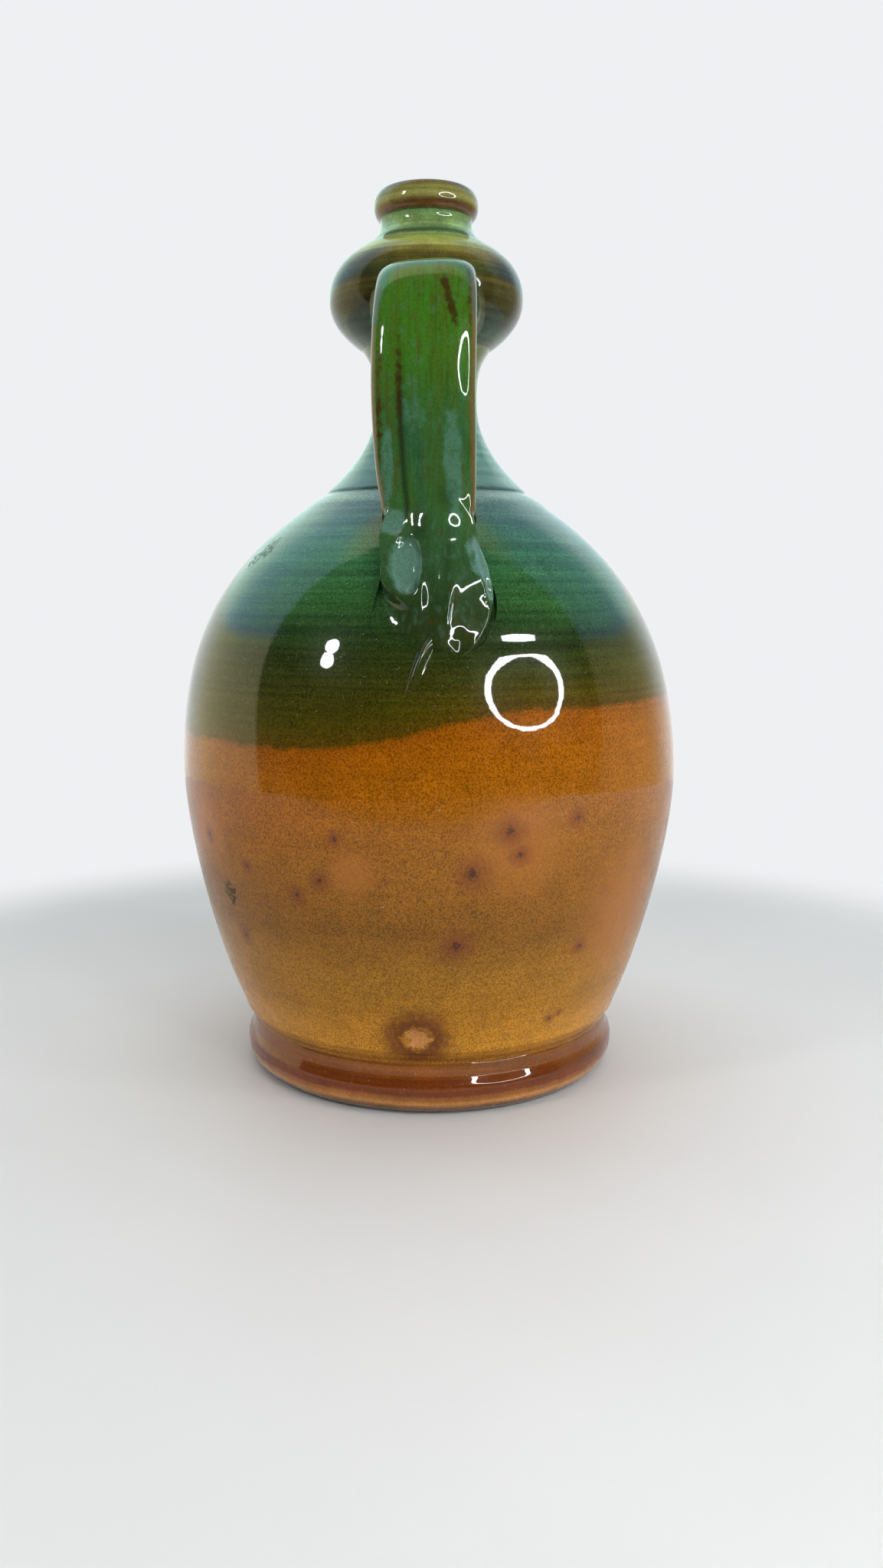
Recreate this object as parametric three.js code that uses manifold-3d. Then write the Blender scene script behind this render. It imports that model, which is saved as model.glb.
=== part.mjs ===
// Glazed pottery jug: a thrown body, neck, bulb, collar and lip on a foot ring, and a pulled strap handle.
// Millimetres, +Z up. The origin is the centre of the flat underside, and the handle points along -Y.
import * as THREE from "three";
import { mergeVertices } from "three/addons/utils/BufferGeometryUtils.js";
import Module from "manifold-3d";

// Heights of the thrown pieces, stacked from the table up
const FOOT_HEIGHT = 16.4;
const BODY_HEIGHT = 169.6;
const NECK_HEIGHT = 46;
const BULB_HEIGHT = 33.2;
const COLLAR_HEIGHT = 6;
const LIP_HEIGHT = 8.8;

// Heights of the widest and narrowest places above the foot of their own piece
const FOOT_ROLL_RISE = 9.3;
const BELLY_RISE = 84;
const WAIST_RISE = 31;
const BULB_RISE = 15;
const LIP_ROLL_RISE = 4;

// Outer radii, from the table up
const FOOT_RADIUS = 61.8;
const FOOT_UNDERCUT = 6.1;
const FOOT_GROOVE_DEPTH = 2;
const BELLY_RADIUS = 80.6;
const SHOULDER_RADIUS = 34;
const WAIST_RADIUS = 16.2;
const BULB_FOOT_RADIUS = 20.3;
const BULB_RADIUS = 30.5;
const BULB_TOP_RADIUS = 16.4;
const LIP_RADIUS = 16.4;
const LIP_OVERHANG = 1.9;
const LIP_CROWN_SETBACK = 3.4;

// Walls, measured level, so they are wider where the wall leans, and the bore of collar and lip
const FOOT_WALL = 7;
const BELLY_WALL = 6;
const SHOULDER_WALL = 9.5;
const WAIST_WALL = 5;
const BULB_FOOT_WALL = 6.3;
const BULB_WALL = 5;
const MOUTH_RADIUS = 10;

// Floor slab and the ledge of the foot ring that carries it
const FLOOR_RIM_THICKNESS = 3.5;
const LEDGE_HEIGHT = 3.5;
const LEDGE_WIDTH = 3.5;

// Luted joints: a V ridge in a V groove, a film of slip between, and an edge bevel that shows as a groove
const SLIP_GAP = 0.3;
const KEY_DEPTH = 1.5;
const EDGE_BEVEL = 0.6;

// Handle strap
const STRAP_REACH = 61.5;
const STRAP_REACH_DROP = 31;
const STRAP_ROOT_DROP = 5;
const STRAP_CROWN_GAP = 13;
const STRAP_LANDING_DROP = 13;
const STRAP_SINK = 10;
const STRAP_ROOT_WIDTH = 29;
const STRAP_END_WIDTH = 26;
const STRAP_ROOT_THICKNESS = 9;
const STRAP_END_THICKNESS = 8;
const STRAP_DISH = 1.1;
const STRAP_SIDEWAYS_BOW = -1.8;
const STRAP_END_SIDE = 1;

// Pads of clay that join the strap to the bulb and to the shoulder
const ROOT_THICKNESS = 4;
const ROOT_SINK = 7;
const ROOT_HALF_WIDTH = 19;
const ROOT_HALF_LENGTH = 10;
const TERMINAL_THICKNESS = 8;
const TERMINAL_SINK = 4.5;
const TERMINAL_HALF_WIDTH = 17;
const TERMINAL_HALF_LENGTH = 23;
const TERMINAL_DROP = 12;
const TERMINAL_SIDE = 2;
const THUMB_RADIUS = 11;
const THUMB_DEPTH = 2.4;
const THUMB_SPACING = 20;
const THUMB_RISE = 2;
const TAIL_THICKNESS = 2;
const TAIL_SINK = 2;
const TAIL_HALF_WIDTH = 5;
const TAIL_HALF_LENGTH = 15;
const TAIL_DROP = 22;
const TAIL_SIDE = -4;
const TAIL_LEAN_DEGREES = 11;

// Fullness of the curves: how far each end's handle goes, as shares of the stretch's own run and rise
const FOOT_UNDERCUT_START = [0.62, 0.1];
const FOOT_GROOVE_END = [0.6, 0.15];
const BODY_START = [0.54, 0.254];
const BELLY_FROM_BELOW = [0, 0.269];
const BELLY_UPWARDS = [0, 0.661];
const SHOULDER_FROM_BELOW = [0.3, 0.12];
const NECK_START = [0.956, 0.457];
const WAIST_FROM_BELOW = [0, 0.22];
const WAIST_UPWARDS = [0, 0.476];
const CREASE_FROM_BELOW = [0.86, 0.325];
const BULB_START = [0.99, 0.447];
const BULB_FROM_BELOW = [0, 0.163];
const BULB_UPWARDS = [0, 0.68];
const BULB_END = [0.18, 0.166];
const COLLAR_START = [0.74, 0.23];
const COLLAR_END = [-0.37, 0.38];
const LIP_START = [0.55, 0.1];
const ROUND_UPRIGHT = [0, 0.55];
const ROUND_LEVEL = [0.55, 0];

// Facets
const BODY_SIDES = 44;
const NECK_SIDES = 32;
const BODY_STEPS = 8;
const NECK_STEPS = 5;
const COLLAR_STEPS = 3;
const STRAP_STEPS = 20;
const STRAP_SIDES = 16;
const PAD_SIDES = 24;

// Places that follow from the sizes above
const footZ = FOOT_HEIGHT;
const shoulderZ = footZ + BODY_HEIGHT;
const bulbFootZ = shoulderZ + NECK_HEIGHT;
const bulbTopZ = bulbFootZ + BULB_HEIGHT;
const lipZ = bulbTopZ + COLLAR_HEIGHT;
const rimZ = lipZ + LIP_HEIGHT;
const bellyZ = footZ + BELLY_RISE;
const waistZ = shoulderZ + WAIST_RISE;
const bulbZ = bulbFootZ + BULB_RISE;
const rootZ = bulbZ - STRAP_ROOT_DROP;
const landingZ = shoulderZ - STRAP_LANDING_DROP;
const terminalZ = landingZ - TERMINAL_DROP;
const grooveRadius = FOOT_RADIUS - FOOT_GROOVE_DEPTH;
const collarTopRadius = LIP_RADIUS - LIP_OVERHANG;

const wasm = await Module();
wasm.setup();

const at = (radius, height) => new THREE.Vector2(radius, height);

// One stretch of a meridian: a cubic whose handles are shares of the way from its start to its end.
function stretch(start, startShare, end, endShare) {
  const span = end.clone().sub(start);
  const leave = start.clone().add(span.clone().multiply(at(...startShare)));
  const arrive = end.clone().sub(span.clone().multiply(at(...endShare)));
  return new THREE.CubicBezierCurve(start, leave, arrive, end);
}

// Outsides of the thrown pieces, bottom to top
const foot = at(grooveRadius, footZ);
const belly = at(BELLY_RADIUS, bellyZ);
const shoulder = at(SHOULDER_RADIUS, shoulderZ);
const waist = at(WAIST_RADIUS, waistZ);
const crease = at(BULB_FOOT_RADIUS, bulbFootZ);
const bulb = at(BULB_RADIUS, bulbZ);
const bulbTop = at(BULB_TOP_RADIUS, bulbTopZ);
const collarTop = at(collarTopRadius, lipZ);
const bodyCurves = [
  stretch(foot, BODY_START, belly, BELLY_FROM_BELOW),
  stretch(belly, BELLY_UPWARDS, shoulder, SHOULDER_FROM_BELOW),
];
const neckCurves = [
  stretch(shoulder, NECK_START, waist, WAIST_FROM_BELOW),
  stretch(waist, WAIST_UPWARDS, crease, CREASE_FROM_BELOW),
];
const bulbCurves = [
  stretch(crease, BULB_START, bulb, BULB_FROM_BELOW),
  stretch(bulb, BULB_UPWARDS, bulbTop, BULB_END),
];
const collarCurves = [stretch(bulbTop, COLLAR_START, collarTop, COLLAR_END)];

// Walls at the ends of those stretches
const mouthWall = (radius) => radius - MOUTH_RADIUS;
const bodyWalls = [FOOT_WALL, BELLY_WALL, SHOULDER_WALL];
const neckWalls = [SHOULDER_WALL, WAIST_WALL, BULB_FOOT_WALL];
const bulbWalls = [BULB_FOOT_WALL, BULB_WALL, mouthWall(BULB_TOP_RADIUS)];
const collarWalls = [mouthWall(BULB_TOP_RADIUS), mouthWall(collarTopRadius)];

// The inside of a stretch: its points moved inwards by a wall that goes from one end's to the other's.
function inside(curve, startWall, endWall) {
  const inward = (point, wall) => at(point.x - wall, point.y);
  const start = [curve.v0, curve.v1].map((point) => inward(point, startWall));
  const end = [curve.v2, curve.v3].map((point) => inward(point, endWall));
  return new THREE.CubicBezierCurve(...start, ...end);
}

// Points along a chain of curves, kept clear of both ends by the edge bevel.
function along(curves, steps) {
  const points = [];
  curves.forEach((curve, index) => {
    const first = index === 0 ? EDGE_BEVEL / curve.getLength() : 0;
    const last = index === curves.length - 1 ? 1 - EDGE_BEVEL / curve.getLength() : 1;
    for (let step = index === 0 ? 0 : 1; step <= steps; step += 1) {
      points.push(curve.getPointAt(THREE.MathUtils.lerp(first, last, step / steps)));
    }
  });
  return points;
}

// Upper end of a thrown piece, from the outside in: bevel, level face and a V groove half the wall wide.
function grooveFace(height, outer, wall) {
  const middle = outer - wall / 2;
  return [
    at(outer - EDGE_BEVEL, height),
    at(middle + wall / 4, height),
    at(middle, height - KEY_DEPTH),
    at(middle - wall / 4, height),
    at(outer - wall, height),
  ];
}

// Lower end of the piece above, from the inside out: the V ridge that keys into that groove.
function ridgeFace(height, outer, wall) {
  return grooveFace(height + SLIP_GAP, outer, wall).reverse();
}

// An outline of radius and height turned round the Z axis: a ring's closes, a filled form's ends on the axis.
function turned(outline, sides) {
  const onAxis = outline[0].x === 0;
  const geometry = new THREE.LatheGeometry(onAxis ? outline : [...outline, outline[0]], sides);
  return geometry.rotateX(Math.PI / 2);
}

// The inside of a thrown piece, from the top down.
function insidePoints(curves, walls, steps) {
  const inner = curves.map((curve, index) => inside(curve, walls[index], walls[index + 1]));
  return along(inner, steps).reverse();
}

// A thrown piece between two luted joints: its outer curves, the walls at their ends and the points inside.
function thrownPiece(curves, walls, innerPoints, sides, steps) {
  const low = curves[0].v0;
  const high = curves[curves.length - 1].v3;
  const outline = [
    ...along(curves, steps),
    ...grooveFace(high.y, high.x, walls[walls.length - 1]),
    ...innerPoints,
    ...ridgeFace(low.y, low.x, walls[0]),
  ];
  return turned(outline, sides);
}

function bodyWall() {
  const innerPoints = insidePoints(bodyCurves, bodyWalls, BODY_STEPS - 1);
  return thrownPiece(bodyCurves, bodyWalls, innerPoints, BODY_SIDES, BODY_STEPS);
}

function neckWall() {
  const innerPoints = insidePoints(neckCurves, neckWalls, NECK_STEPS - 1);
  return thrownPiece(neckCurves, neckWalls, innerPoints, NECK_SIDES, NECK_STEPS);
}

function neckBulb() {
  const innerPoints = insidePoints(bulbCurves, bulbWalls, NECK_STEPS - 1);
  return thrownPiece(bulbCurves, bulbWalls, innerPoints, NECK_SIDES, NECK_STEPS);
}

// The collar's bore is straight, from one end face to the other.
function collar() {
  return thrownPiece(collarCurves, collarWalls, [], NECK_SIDES, COLLAR_STEPS);
}

// The floor: a disc whose upper rim overhangs and rests on the foot ring's ledge.
function baseSlab() {
  const rim = grooveRadius - FOOT_WALL - SLIP_GAP;
  const outline = [
    at(0, 0),
    at(rim - LEDGE_WIDTH, 0),
    at(rim - LEDGE_WIDTH, LEDGE_HEIGHT + SLIP_GAP),
    at(rim, LEDGE_HEIGHT + SLIP_GAP),
    at(rim, LEDGE_HEIGHT + FLOOR_RIM_THICKNESS),
    at(0, LEDGE_HEIGHT + FLOOR_RIM_THICKNESS),
  ];
  return turned(outline, BODY_SIDES);
}

// The foot: a rounded flange outside, a ledge for the floor inside and a V groove for the wall on top.
function footRing() {
  const contact = at(FOOT_RADIUS - FOOT_UNDERCUT, 0);
  const roll = at(FOOT_RADIUS, FOOT_ROLL_RISE);
  const bore = grooveRadius - FOOT_WALL;
  const curves = [
    stretch(contact, FOOT_UNDERCUT_START, roll, ROUND_UPRIGHT),
    stretch(roll, ROUND_UPRIGHT, foot, FOOT_GROOVE_END),
  ];
  const outline = [
    ...along(curves, NECK_STEPS),
    ...grooveFace(footZ, grooveRadius, FOOT_WALL),
    at(bore, LEDGE_HEIGHT),
    at(bore - LEDGE_WIDTH, LEDGE_HEIGHT),
    at(bore - LEDGE_WIDTH, 0),
    at(contact.x - EDGE_BEVEL, 0),
  ];
  return turned(outline, BODY_SIDES);
}

// The lip: a full roll outside, over the crown and down into the mouth.
function lipRoll() {
  const widest = at(LIP_RADIUS, lipZ + LIP_ROLL_RISE);
  const crown = at(LIP_RADIUS - LIP_CROWN_SETBACK, rimZ);
  const throat = at(MOUTH_RADIUS, lipZ + LIP_ROLL_RISE);
  const curves = [
    stretch(collarTop, LIP_START, widest, ROUND_UPRIGHT),
    stretch(widest, ROUND_UPRIGHT, crown, ROUND_LEVEL),
    stretch(crown, ROUND_LEVEL, throat, ROUND_UPRIGHT),
  ];
  const outline = [
    ...along(curves, NECK_STEPS),
    ...ridgeFace(lipZ, collarTopRadius, mouthWall(collarTopRadius)),
  ];
  return turned(outline, NECK_SIDES);
}

// Solids that joins and cuts work on
function solidOf(geometry) {
  const bare = new THREE.BufferGeometry();
  bare.setAttribute("position", geometry.getAttribute("position"));
  bare.setIndex(geometry.getIndex());
  const merged = mergeVertices(bare);
  const vertProperties = new Float32Array(merged.getAttribute("position").array);
  const triVerts = new Uint32Array(merged.getIndex().array);
  return new wasm.Manifold(new wasm.Mesh({ numProp: 3, vertProperties, triVerts }));
}

function geometryOf(solid) {
  const mesh = solid.getMesh();
  const geometry = new THREE.BufferGeometry();
  geometry.setAttribute("position", new THREE.BufferAttribute(mesh.vertProperties, 3));
  geometry.setIndex(new THREE.BufferAttribute(mesh.triVerts, 1));
  geometry.computeVertexNormals();
  return geometry;
}

// The filled form of a thrown piece, with its surface moved out by the film of slip.
function filledForm(curves, sides, steps) {
  const points = [];
  curves.forEach((curve, index) => {
    for (let step = index === 0 ? 0 : 1; step <= steps; step += 1) {
      const tangent = curve.getTangentAt(step / steps);
      const outward = at(tangent.y, -tangent.x);
      points.push(curve.getPointAt(step / steps).addScaledVector(outward, SLIP_GAP));
    }
  });
  const outline = [at(0, points[0].y), ...points, at(0, points[points.length - 1].y)];
  return solidOf(turned(outline, sides));
}

const bodyForm = () => filledForm(bodyCurves, BODY_SIDES, BODY_STEPS);
const bulbForm = () => filledForm(bulbCurves, NECK_SIDES, NECK_STEPS);

// Where a level plane meets a pair of stretches: the radius there and the wall's lean from upright.
function wallAt(curves, height) {
  const curve = height < curves[0].v3.y ? curves[0] : curves[1];
  let low = 0;
  let high = 1;
  while (high - low > Number.EPSILON) {
    const middle = (low + high) / 2;
    if (curve.getPoint(middle).y < height) low = middle;
    else high = middle;
  }
  const tangent = curve.getTangent(high);
  return { radius: curve.getPoint(high).x, lean: Math.atan2(-tangent.x, tangent.y) };
}

// The pads of clay under the handle: the wall each one sits on, its place, half sizes and depth
const rootPad = {
  curves: bulbCurves,
  height: rootZ,
  side: STRAP_SIDEWAYS_BOW,
  halfWidth: ROOT_HALF_WIDTH,
  halfLength: ROOT_HALF_LENGTH,
  thickness: ROOT_THICKNESS,
  sink: ROOT_SINK,
  tilt: 0,
};
const terminalPad = {
  curves: bodyCurves,
  height: terminalZ,
  side: TERMINAL_SIDE,
  halfWidth: TERMINAL_HALF_WIDTH,
  halfLength: TERMINAL_HALF_LENGTH,
  thickness: TERMINAL_THICKNESS,
  sink: TERMINAL_SINK,
  tilt: 0,
};
const tailPad = {
  curves: bodyCurves,
  height: terminalZ - TAIL_DROP,
  side: TAIL_SIDE,
  halfWidth: TAIL_HALF_WIDTH,
  halfLength: TAIL_HALF_LENGTH,
  thickness: TAIL_THICKNESS,
  sink: TAIL_SINK,
  tilt: THREE.MathUtils.degToRad(TAIL_LEAN_DEGREES),
};

// A flattened ball of clay, long up the wall and wide across it, standing out of the wall by its thickness.
function pebble(pad, clearance) {
  const { radius, lean } = wallAt(pad.curves, pad.height);
  const ball = new THREE.SphereGeometry(1, PAD_SIDES, PAD_SIDES / 2);
  ball.scale(pad.halfWidth + clearance, pad.thickness + pad.sink + clearance, pad.halfLength + clearance);
  ball.rotateY(pad.tilt);
  ball.rotateX(-lean);
  ball.translate(0, pad.sink * Math.cos(lean) - radius, pad.height - pad.sink * Math.sin(lean));
  ball.rotateZ(pad.side / radius);
  return solidOf(ball);
}

// The middle line of the strap: out of the bulb, over the crown, down and into the shoulder.
function strapPath() {
  const out = (side, reach, height) => new THREE.Vector3(side, -reach, height);
  const reach = STRAP_REACH - STRAP_ROOT_THICKNESS / 2;
  const crownReach = BULB_RADIUS + STRAP_CROWN_GAP;
  const reachZ = bulbZ - STRAP_REACH_DROP;
  const landing = wallAt(bodyCurves, landingZ).radius;
  const points = [
    out(0, BULB_RADIUS / 2, rootZ),
    out(STRAP_SIDEWAYS_BOW / 2, BULB_RADIUS, rootZ),
    out(STRAP_SIDEWAYS_BOW, crownReach, rootZ),
    out(STRAP_SIDEWAYS_BOW, (2 * reach + crownReach) / 3, rootZ - STRAP_ROOT_THICKNESS),
    out(STRAP_SIDEWAYS_BOW, reach, reachZ),
    out(0, (reach + landing + TERMINAL_THICKNESS) / 2, (reachZ + landingZ) / 2),
    out(STRAP_END_SIDE, landing + TERMINAL_THICKNESS / 2, landingZ),
    out(STRAP_END_SIDE, landing, landingZ - STRAP_SINK),
  ];
  return new THREE.CatmullRomCurve3(points, false, "centripetal");
}

// One section of the strap: a squared oval whose outer face is dished between raised edges.
function strapSection(centre, tangent, width, thickness) {
  const across = new THREE.Vector3(1, 0, 0).addScaledVector(tangent, -tangent.x).normalize();
  const outward = new THREE.Vector3().crossVectors(tangent, across);
  const squared = (value) => Math.sign(value) * Math.sqrt(Math.abs(value));
  return Array.from({ length: STRAP_SIDES }, (unused, side) => {
    const angle = (2 * Math.PI * side) / STRAP_SIDES;
    const wide = squared(Math.cos(angle));
    const deep = squared(Math.sin(angle));
    const dish = Math.max(deep, 0) * STRAP_DISH * (1 - wide * wide);
    return centre.clone()
      .addScaledVector(across, (wide * width) / 2)
      .addScaledVector(outward, (deep * thickness) / 2 - dish);
  });
}

// A closed skin over a row of sections, with a fan of triangles over each end.
function lofted(sections) {
  const sides = sections[0].length;
  const middles = [sections[0], sections[sections.length - 1]].map((ring) =>
    ring.reduce((sum, point) => sum.addScaledVector(point, 1 / sides), new THREE.Vector3()));
  const points = [...sections.flat(), ...middles];
  const firstMiddle = points.length - 2;
  const lastMiddle = points.length - 1;
  const lastRing = (sections.length - 1) * sides;
  const index = [];
  for (let side = 0; side < sides; side += 1) {
    const next = (side + 1) % sides;
    for (let ring = 0; ring < lastRing; ring += sides) {
      const [a, b, c, d] = [ring + side, ring + next, ring + sides + next, ring + sides + side];
      index.push(a, b, c, a, c, d);
    }
    index.push(firstMiddle, next, side, lastMiddle, lastRing + side, lastRing + next);
  }
  return new THREE.BufferGeometry().setFromPoints(points).setIndex(index);
}

// The strap: sections along the middle line, cut to seat on the root, the terminal and the walls.
function handleStrap() {
  const path = strapPath();
  const sections = Array.from({ length: STRAP_STEPS + 1 }, (unused, step) => {
    const share = step / STRAP_STEPS;
    const width = THREE.MathUtils.lerp(STRAP_ROOT_WIDTH, STRAP_END_WIDTH, share);
    const thickness = THREE.MathUtils.lerp(STRAP_ROOT_THICKNESS, STRAP_END_THICKNESS, share);
    return strapSection(path.getPointAt(share), path.getTangentAt(share), width, thickness);
  });
  const seats = [bulbForm(), pebble(rootPad, SLIP_GAP), bodyForm(), pebble(terminalPad, SLIP_GAP)];
  return geometryOf(seats.reduce((strap, seat) => strap.subtract(seat), solidOf(lofted(sections))));
}

// The pad of clay between the bulb and the strap, wider than the strap and smoothed on to the bulb.
function handleRoot() {
  return geometryOf(pebble(rootPad, 0).subtract(bulbForm()));
}

// A thumb's end, pressed into the terminal's outer face beside its middle.
function thumb(side) {
  const height = terminalZ + THUMB_RISE;
  const { radius, lean } = wallAt(bodyCurves, height);
  const stand = TERMINAL_THICKNESS + THUMB_RADIUS - THUMB_DEPTH;
  const ball = new THREE.SphereGeometry(THUMB_RADIUS, PAD_SIDES, PAD_SIDES / 2);
  ball.translate(0, -radius - stand * Math.cos(lean), height + stand * Math.sin(lean));
  ball.rotateZ(side / radius);
  return solidOf(ball);
}

// The strap's foot on the shoulder, pressed down with two thumbs.
function handleTerminal() {
  const pad = pebble(terminalPad, 0).subtract(bodyForm());
  const thumbs = [-1, 1].map((way) => thumb(TERMINAL_SIDE + (way * THUMB_SPACING) / 2));
  return geometryOf(thumbs.reduce((pressed, end) => pressed.subtract(end), pad));
}

// The tail of clay wiped down from the terminal.
function handleTail() {
  return geometryOf(pebble(tailPad, 0).subtract(bodyForm()).subtract(pebble(terminalPad, SLIP_GAP)));
}

// Fired colours: bare clay below, amber body, teal neck, brown bulb, green collar and handle
function glaze(color, roughness) {
  return new THREE.MeshStandardMaterial({ color, roughness, metalness: 0 });
}

function piece(name, geometry, material) {
  const mesh = new THREE.Mesh(geometry, material);
  mesh.name = name;
  return mesh;
}

const jug = new THREE.Group();
jug.name = "pottery_jug";
jug.add(
  piece("base_slab", baseSlab(), glaze("#8a6a48", 0.7)),
  piece("foot_ring", footRing(), glaze("#5d2f18", 0.25)),
  piece("body_wall", bodyWall(), glaze("#8a5a1e", 0.15)),
  piece("neck_wall", neckWall(), glaze("#3f6a62", 0.15)),
  piece("neck_bulb", neckBulb(), glaze("#4b4a2a", 0.15)),
  piece("collar", collar(), glaze("#6f8f80", 0.15)),
  piece("lip_roll", lipRoll(), glaze("#6b6a3a", 0.18)),
  piece("handle_root", handleRoot(), glaze("#4d5a3c", 0.18)),
  piece("handle_strap", handleStrap(), glaze("#4f6f5c", 0.18)),
  piece("handle_terminal", handleTerminal(), glaze("#45685f", 0.18)),
  piece("handle_tail", handleTail(), glaze("#3f5a46", 0.18)),
);

export default jug;
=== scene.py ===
"""Dresses the pottery jug: thrown clay walls, a pulled strap handle, layered glazes, light and camera.

Lengths are in millimetres, with the jug's axis on Z, its foot at zero and its handle towards -Y, until a
mesh, a lamp or the camera takes them in metres.
"""

from __future__ import annotations

import logging
import math
from dataclasses import dataclass
from enum import Enum
from typing import NamedTuple, Protocol, Union

import bpy
import numpy as np
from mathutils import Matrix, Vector

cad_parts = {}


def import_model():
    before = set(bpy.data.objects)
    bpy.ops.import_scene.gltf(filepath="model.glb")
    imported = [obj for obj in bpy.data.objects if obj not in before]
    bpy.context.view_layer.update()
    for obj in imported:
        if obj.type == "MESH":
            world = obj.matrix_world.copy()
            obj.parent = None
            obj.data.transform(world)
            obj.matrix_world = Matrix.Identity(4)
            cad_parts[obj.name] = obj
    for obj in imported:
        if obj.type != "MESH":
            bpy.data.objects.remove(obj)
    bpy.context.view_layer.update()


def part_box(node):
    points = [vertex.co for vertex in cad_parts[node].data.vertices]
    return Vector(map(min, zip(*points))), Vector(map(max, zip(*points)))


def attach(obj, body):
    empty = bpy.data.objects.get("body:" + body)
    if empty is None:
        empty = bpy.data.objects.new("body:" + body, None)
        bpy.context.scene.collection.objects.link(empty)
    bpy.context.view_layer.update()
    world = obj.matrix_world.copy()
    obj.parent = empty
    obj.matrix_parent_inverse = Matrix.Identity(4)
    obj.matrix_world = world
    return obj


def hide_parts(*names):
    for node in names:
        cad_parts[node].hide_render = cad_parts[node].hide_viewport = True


LOG = logging.getLogger("jug")
MM = 0.001
BODY_NAME = "root"
SHARP_ANGLE = math.radians(50.0)
END_CROWDING = 0.6
FLAT_SHARE = 0.55

Array = np.ndarray
Pair = tuple[float, float]
Triple = tuple[float, float, float]
Faces = list[list[int]]
Socket = bpy.types.NodeSocket
Feed = Union[Socket, float, Triple]


# Curves and grids


def smooth_step(low: float, high: float, value: Array) -> Array:
    """Rises from 0 at low to 1 at high along 3t² - 2t³; low may be the greater, and then it falls."""
    share = np.clip((value - low) / (high - low), 0.0, 1.0)
    return share * share * (3.0 - 2.0 * share)


def bell(value: Array, middle: float, width: float) -> Array:
    """A bell curve exp(-((value - middle) / width)²)."""
    return np.exp(-(((value - middle) / width) ** 2))


def between(ends: Pair, share: Array) -> Array:
    """Goes straight from the first end to the second as the share goes from 0 to 1."""
    return ends[0] + (ends[1] - ends[0]) * share


def squared(wave: Array, power: float) -> Array:
    """A wave's sign times its size to a power, which squares an oval."""
    return np.sign(wave) * np.abs(wave) ** power


def turns(count: int) -> Array:
    """Angles once round, as one row."""
    return np.linspace(0.0, 2.0 * np.pi, count, endpoint=False)[None, :]


def smooth_through(knots: Array, values: Array, at: Array) -> Array:
    """Carries a smooth curve through points: cubic Hermite pieces whose slopes are central differences.

    Args:
        knots: Rising parameter of each point.
        values: One row of numbers per point.
        at: Parameters to read the curve at.

    Returns:
        One row of numbers per parameter.
    """
    slopes = np.gradient(values, knots, axis=0)
    piece = np.clip(np.searchsorted(knots, at, side="right") - 1, 0, len(knots) - 2)
    span = (knots[piece + 1] - knots[piece])[:, None]
    share = (at - knots[piece])[:, None] / span
    rest = 1.0 - share
    return (
        rest * rest * (1.0 + 2.0 * share) * values[piece]
        + share * share * (3.0 - 2.0 * share) * values[piece + 1]
        + rest * rest * share * span * slopes[piece]
        - rest * share * share * span * slopes[piece + 1]
    )


def along_length(points: Array, count: int, crowding: float = 0.0) -> Array:
    """Spaces points along a line by its length s, at s = t - crowding sin(2 pi t) / (2 pi) of the whole.

    Args:
        points: The line, one point per row.
        count: How many points to return.
        crowding: 0 spaces them evenly, towards 1 they crowd at both ends.

    Returns:
        The new points, one per row.
    """
    steps = np.linalg.norm(np.diff(points, axis=0), axis=1)
    length = np.concatenate([[0.0], np.cumsum(steps)])
    turn = np.linspace(0.0, 1.0, count)
    at = length[-1] * (turn - crowding * np.sin(2.0 * np.pi * turn) / (2.0 * np.pi))
    return np.stack([np.interp(at, length, column) for column in points.T], axis=1)


class Ends(Enum):
    """How the rows of a grid of points end."""

    JOINED = "the last row joins the first"
    CAPPED = "each end row is closed by a fan of triangles"


def skin(grid: Array, ends: Ends) -> tuple[Array, Faces]:
    """Covers a grid of points, whose columns run round and close, with faces that point outwards.

    Each face takes a point, the next in its row, and the two above them; a capped end gets a middle point.

    Args:
        grid: Points as rows, columns, xyz.
        ends: How the first and last rows end.

    Returns:
        The points, one per row, and the corners of each face.
    """
    rows, columns = grid.shape[:2]
    index = np.arange(rows * columns).reshape(rows, columns)
    beside = np.roll(index, -1, axis=1)
    quads = np.stack([index, beside, np.roll(beside, -1, axis=0), np.roll(index, -1, axis=0)], axis=-1)
    points = grid.reshape(-1, 3)
    if ends is Ends.JOINED:
        faces = quads.reshape(-1, 4).tolist()
    else:
        middles = np.stack([grid[0].mean(axis=0), grid[-1].mean(axis=0)])
        first = np.stack([beside[0], index[0], np.full(columns, len(points))], axis=-1)
        last = np.stack([index[-1], beside[-1], np.full(columns, len(points) + 1)], axis=-1)
        points = np.concatenate([points, middles])
        faces = quads[:-1].reshape(-1, 4).tolist() + first.tolist() + last.tolist()
    if inside_out(points, quads[:-1].reshape(-1, 4)):
        faces = [corners[::-1] for corners in faces]
    return points, faces


def inside_out(points: Array, quads: Array) -> bool:
    """Says whether faces point inwards: the sum of centre . (diagonal x diagonal) over the quads is negative.

    Args:
        points: The points, one per row.
        quads: Four corners of each face.

    Returns:
        True if the skin is inside out.
    """
    corners = points[quads] - points.mean(axis=0)
    normals = np.cross(corners[:, 2] - corners[:, 0], corners[:, 3] - corners[:, 1])
    return float(np.sum(corners.mean(axis=1) * normals)) < 0.0


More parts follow.
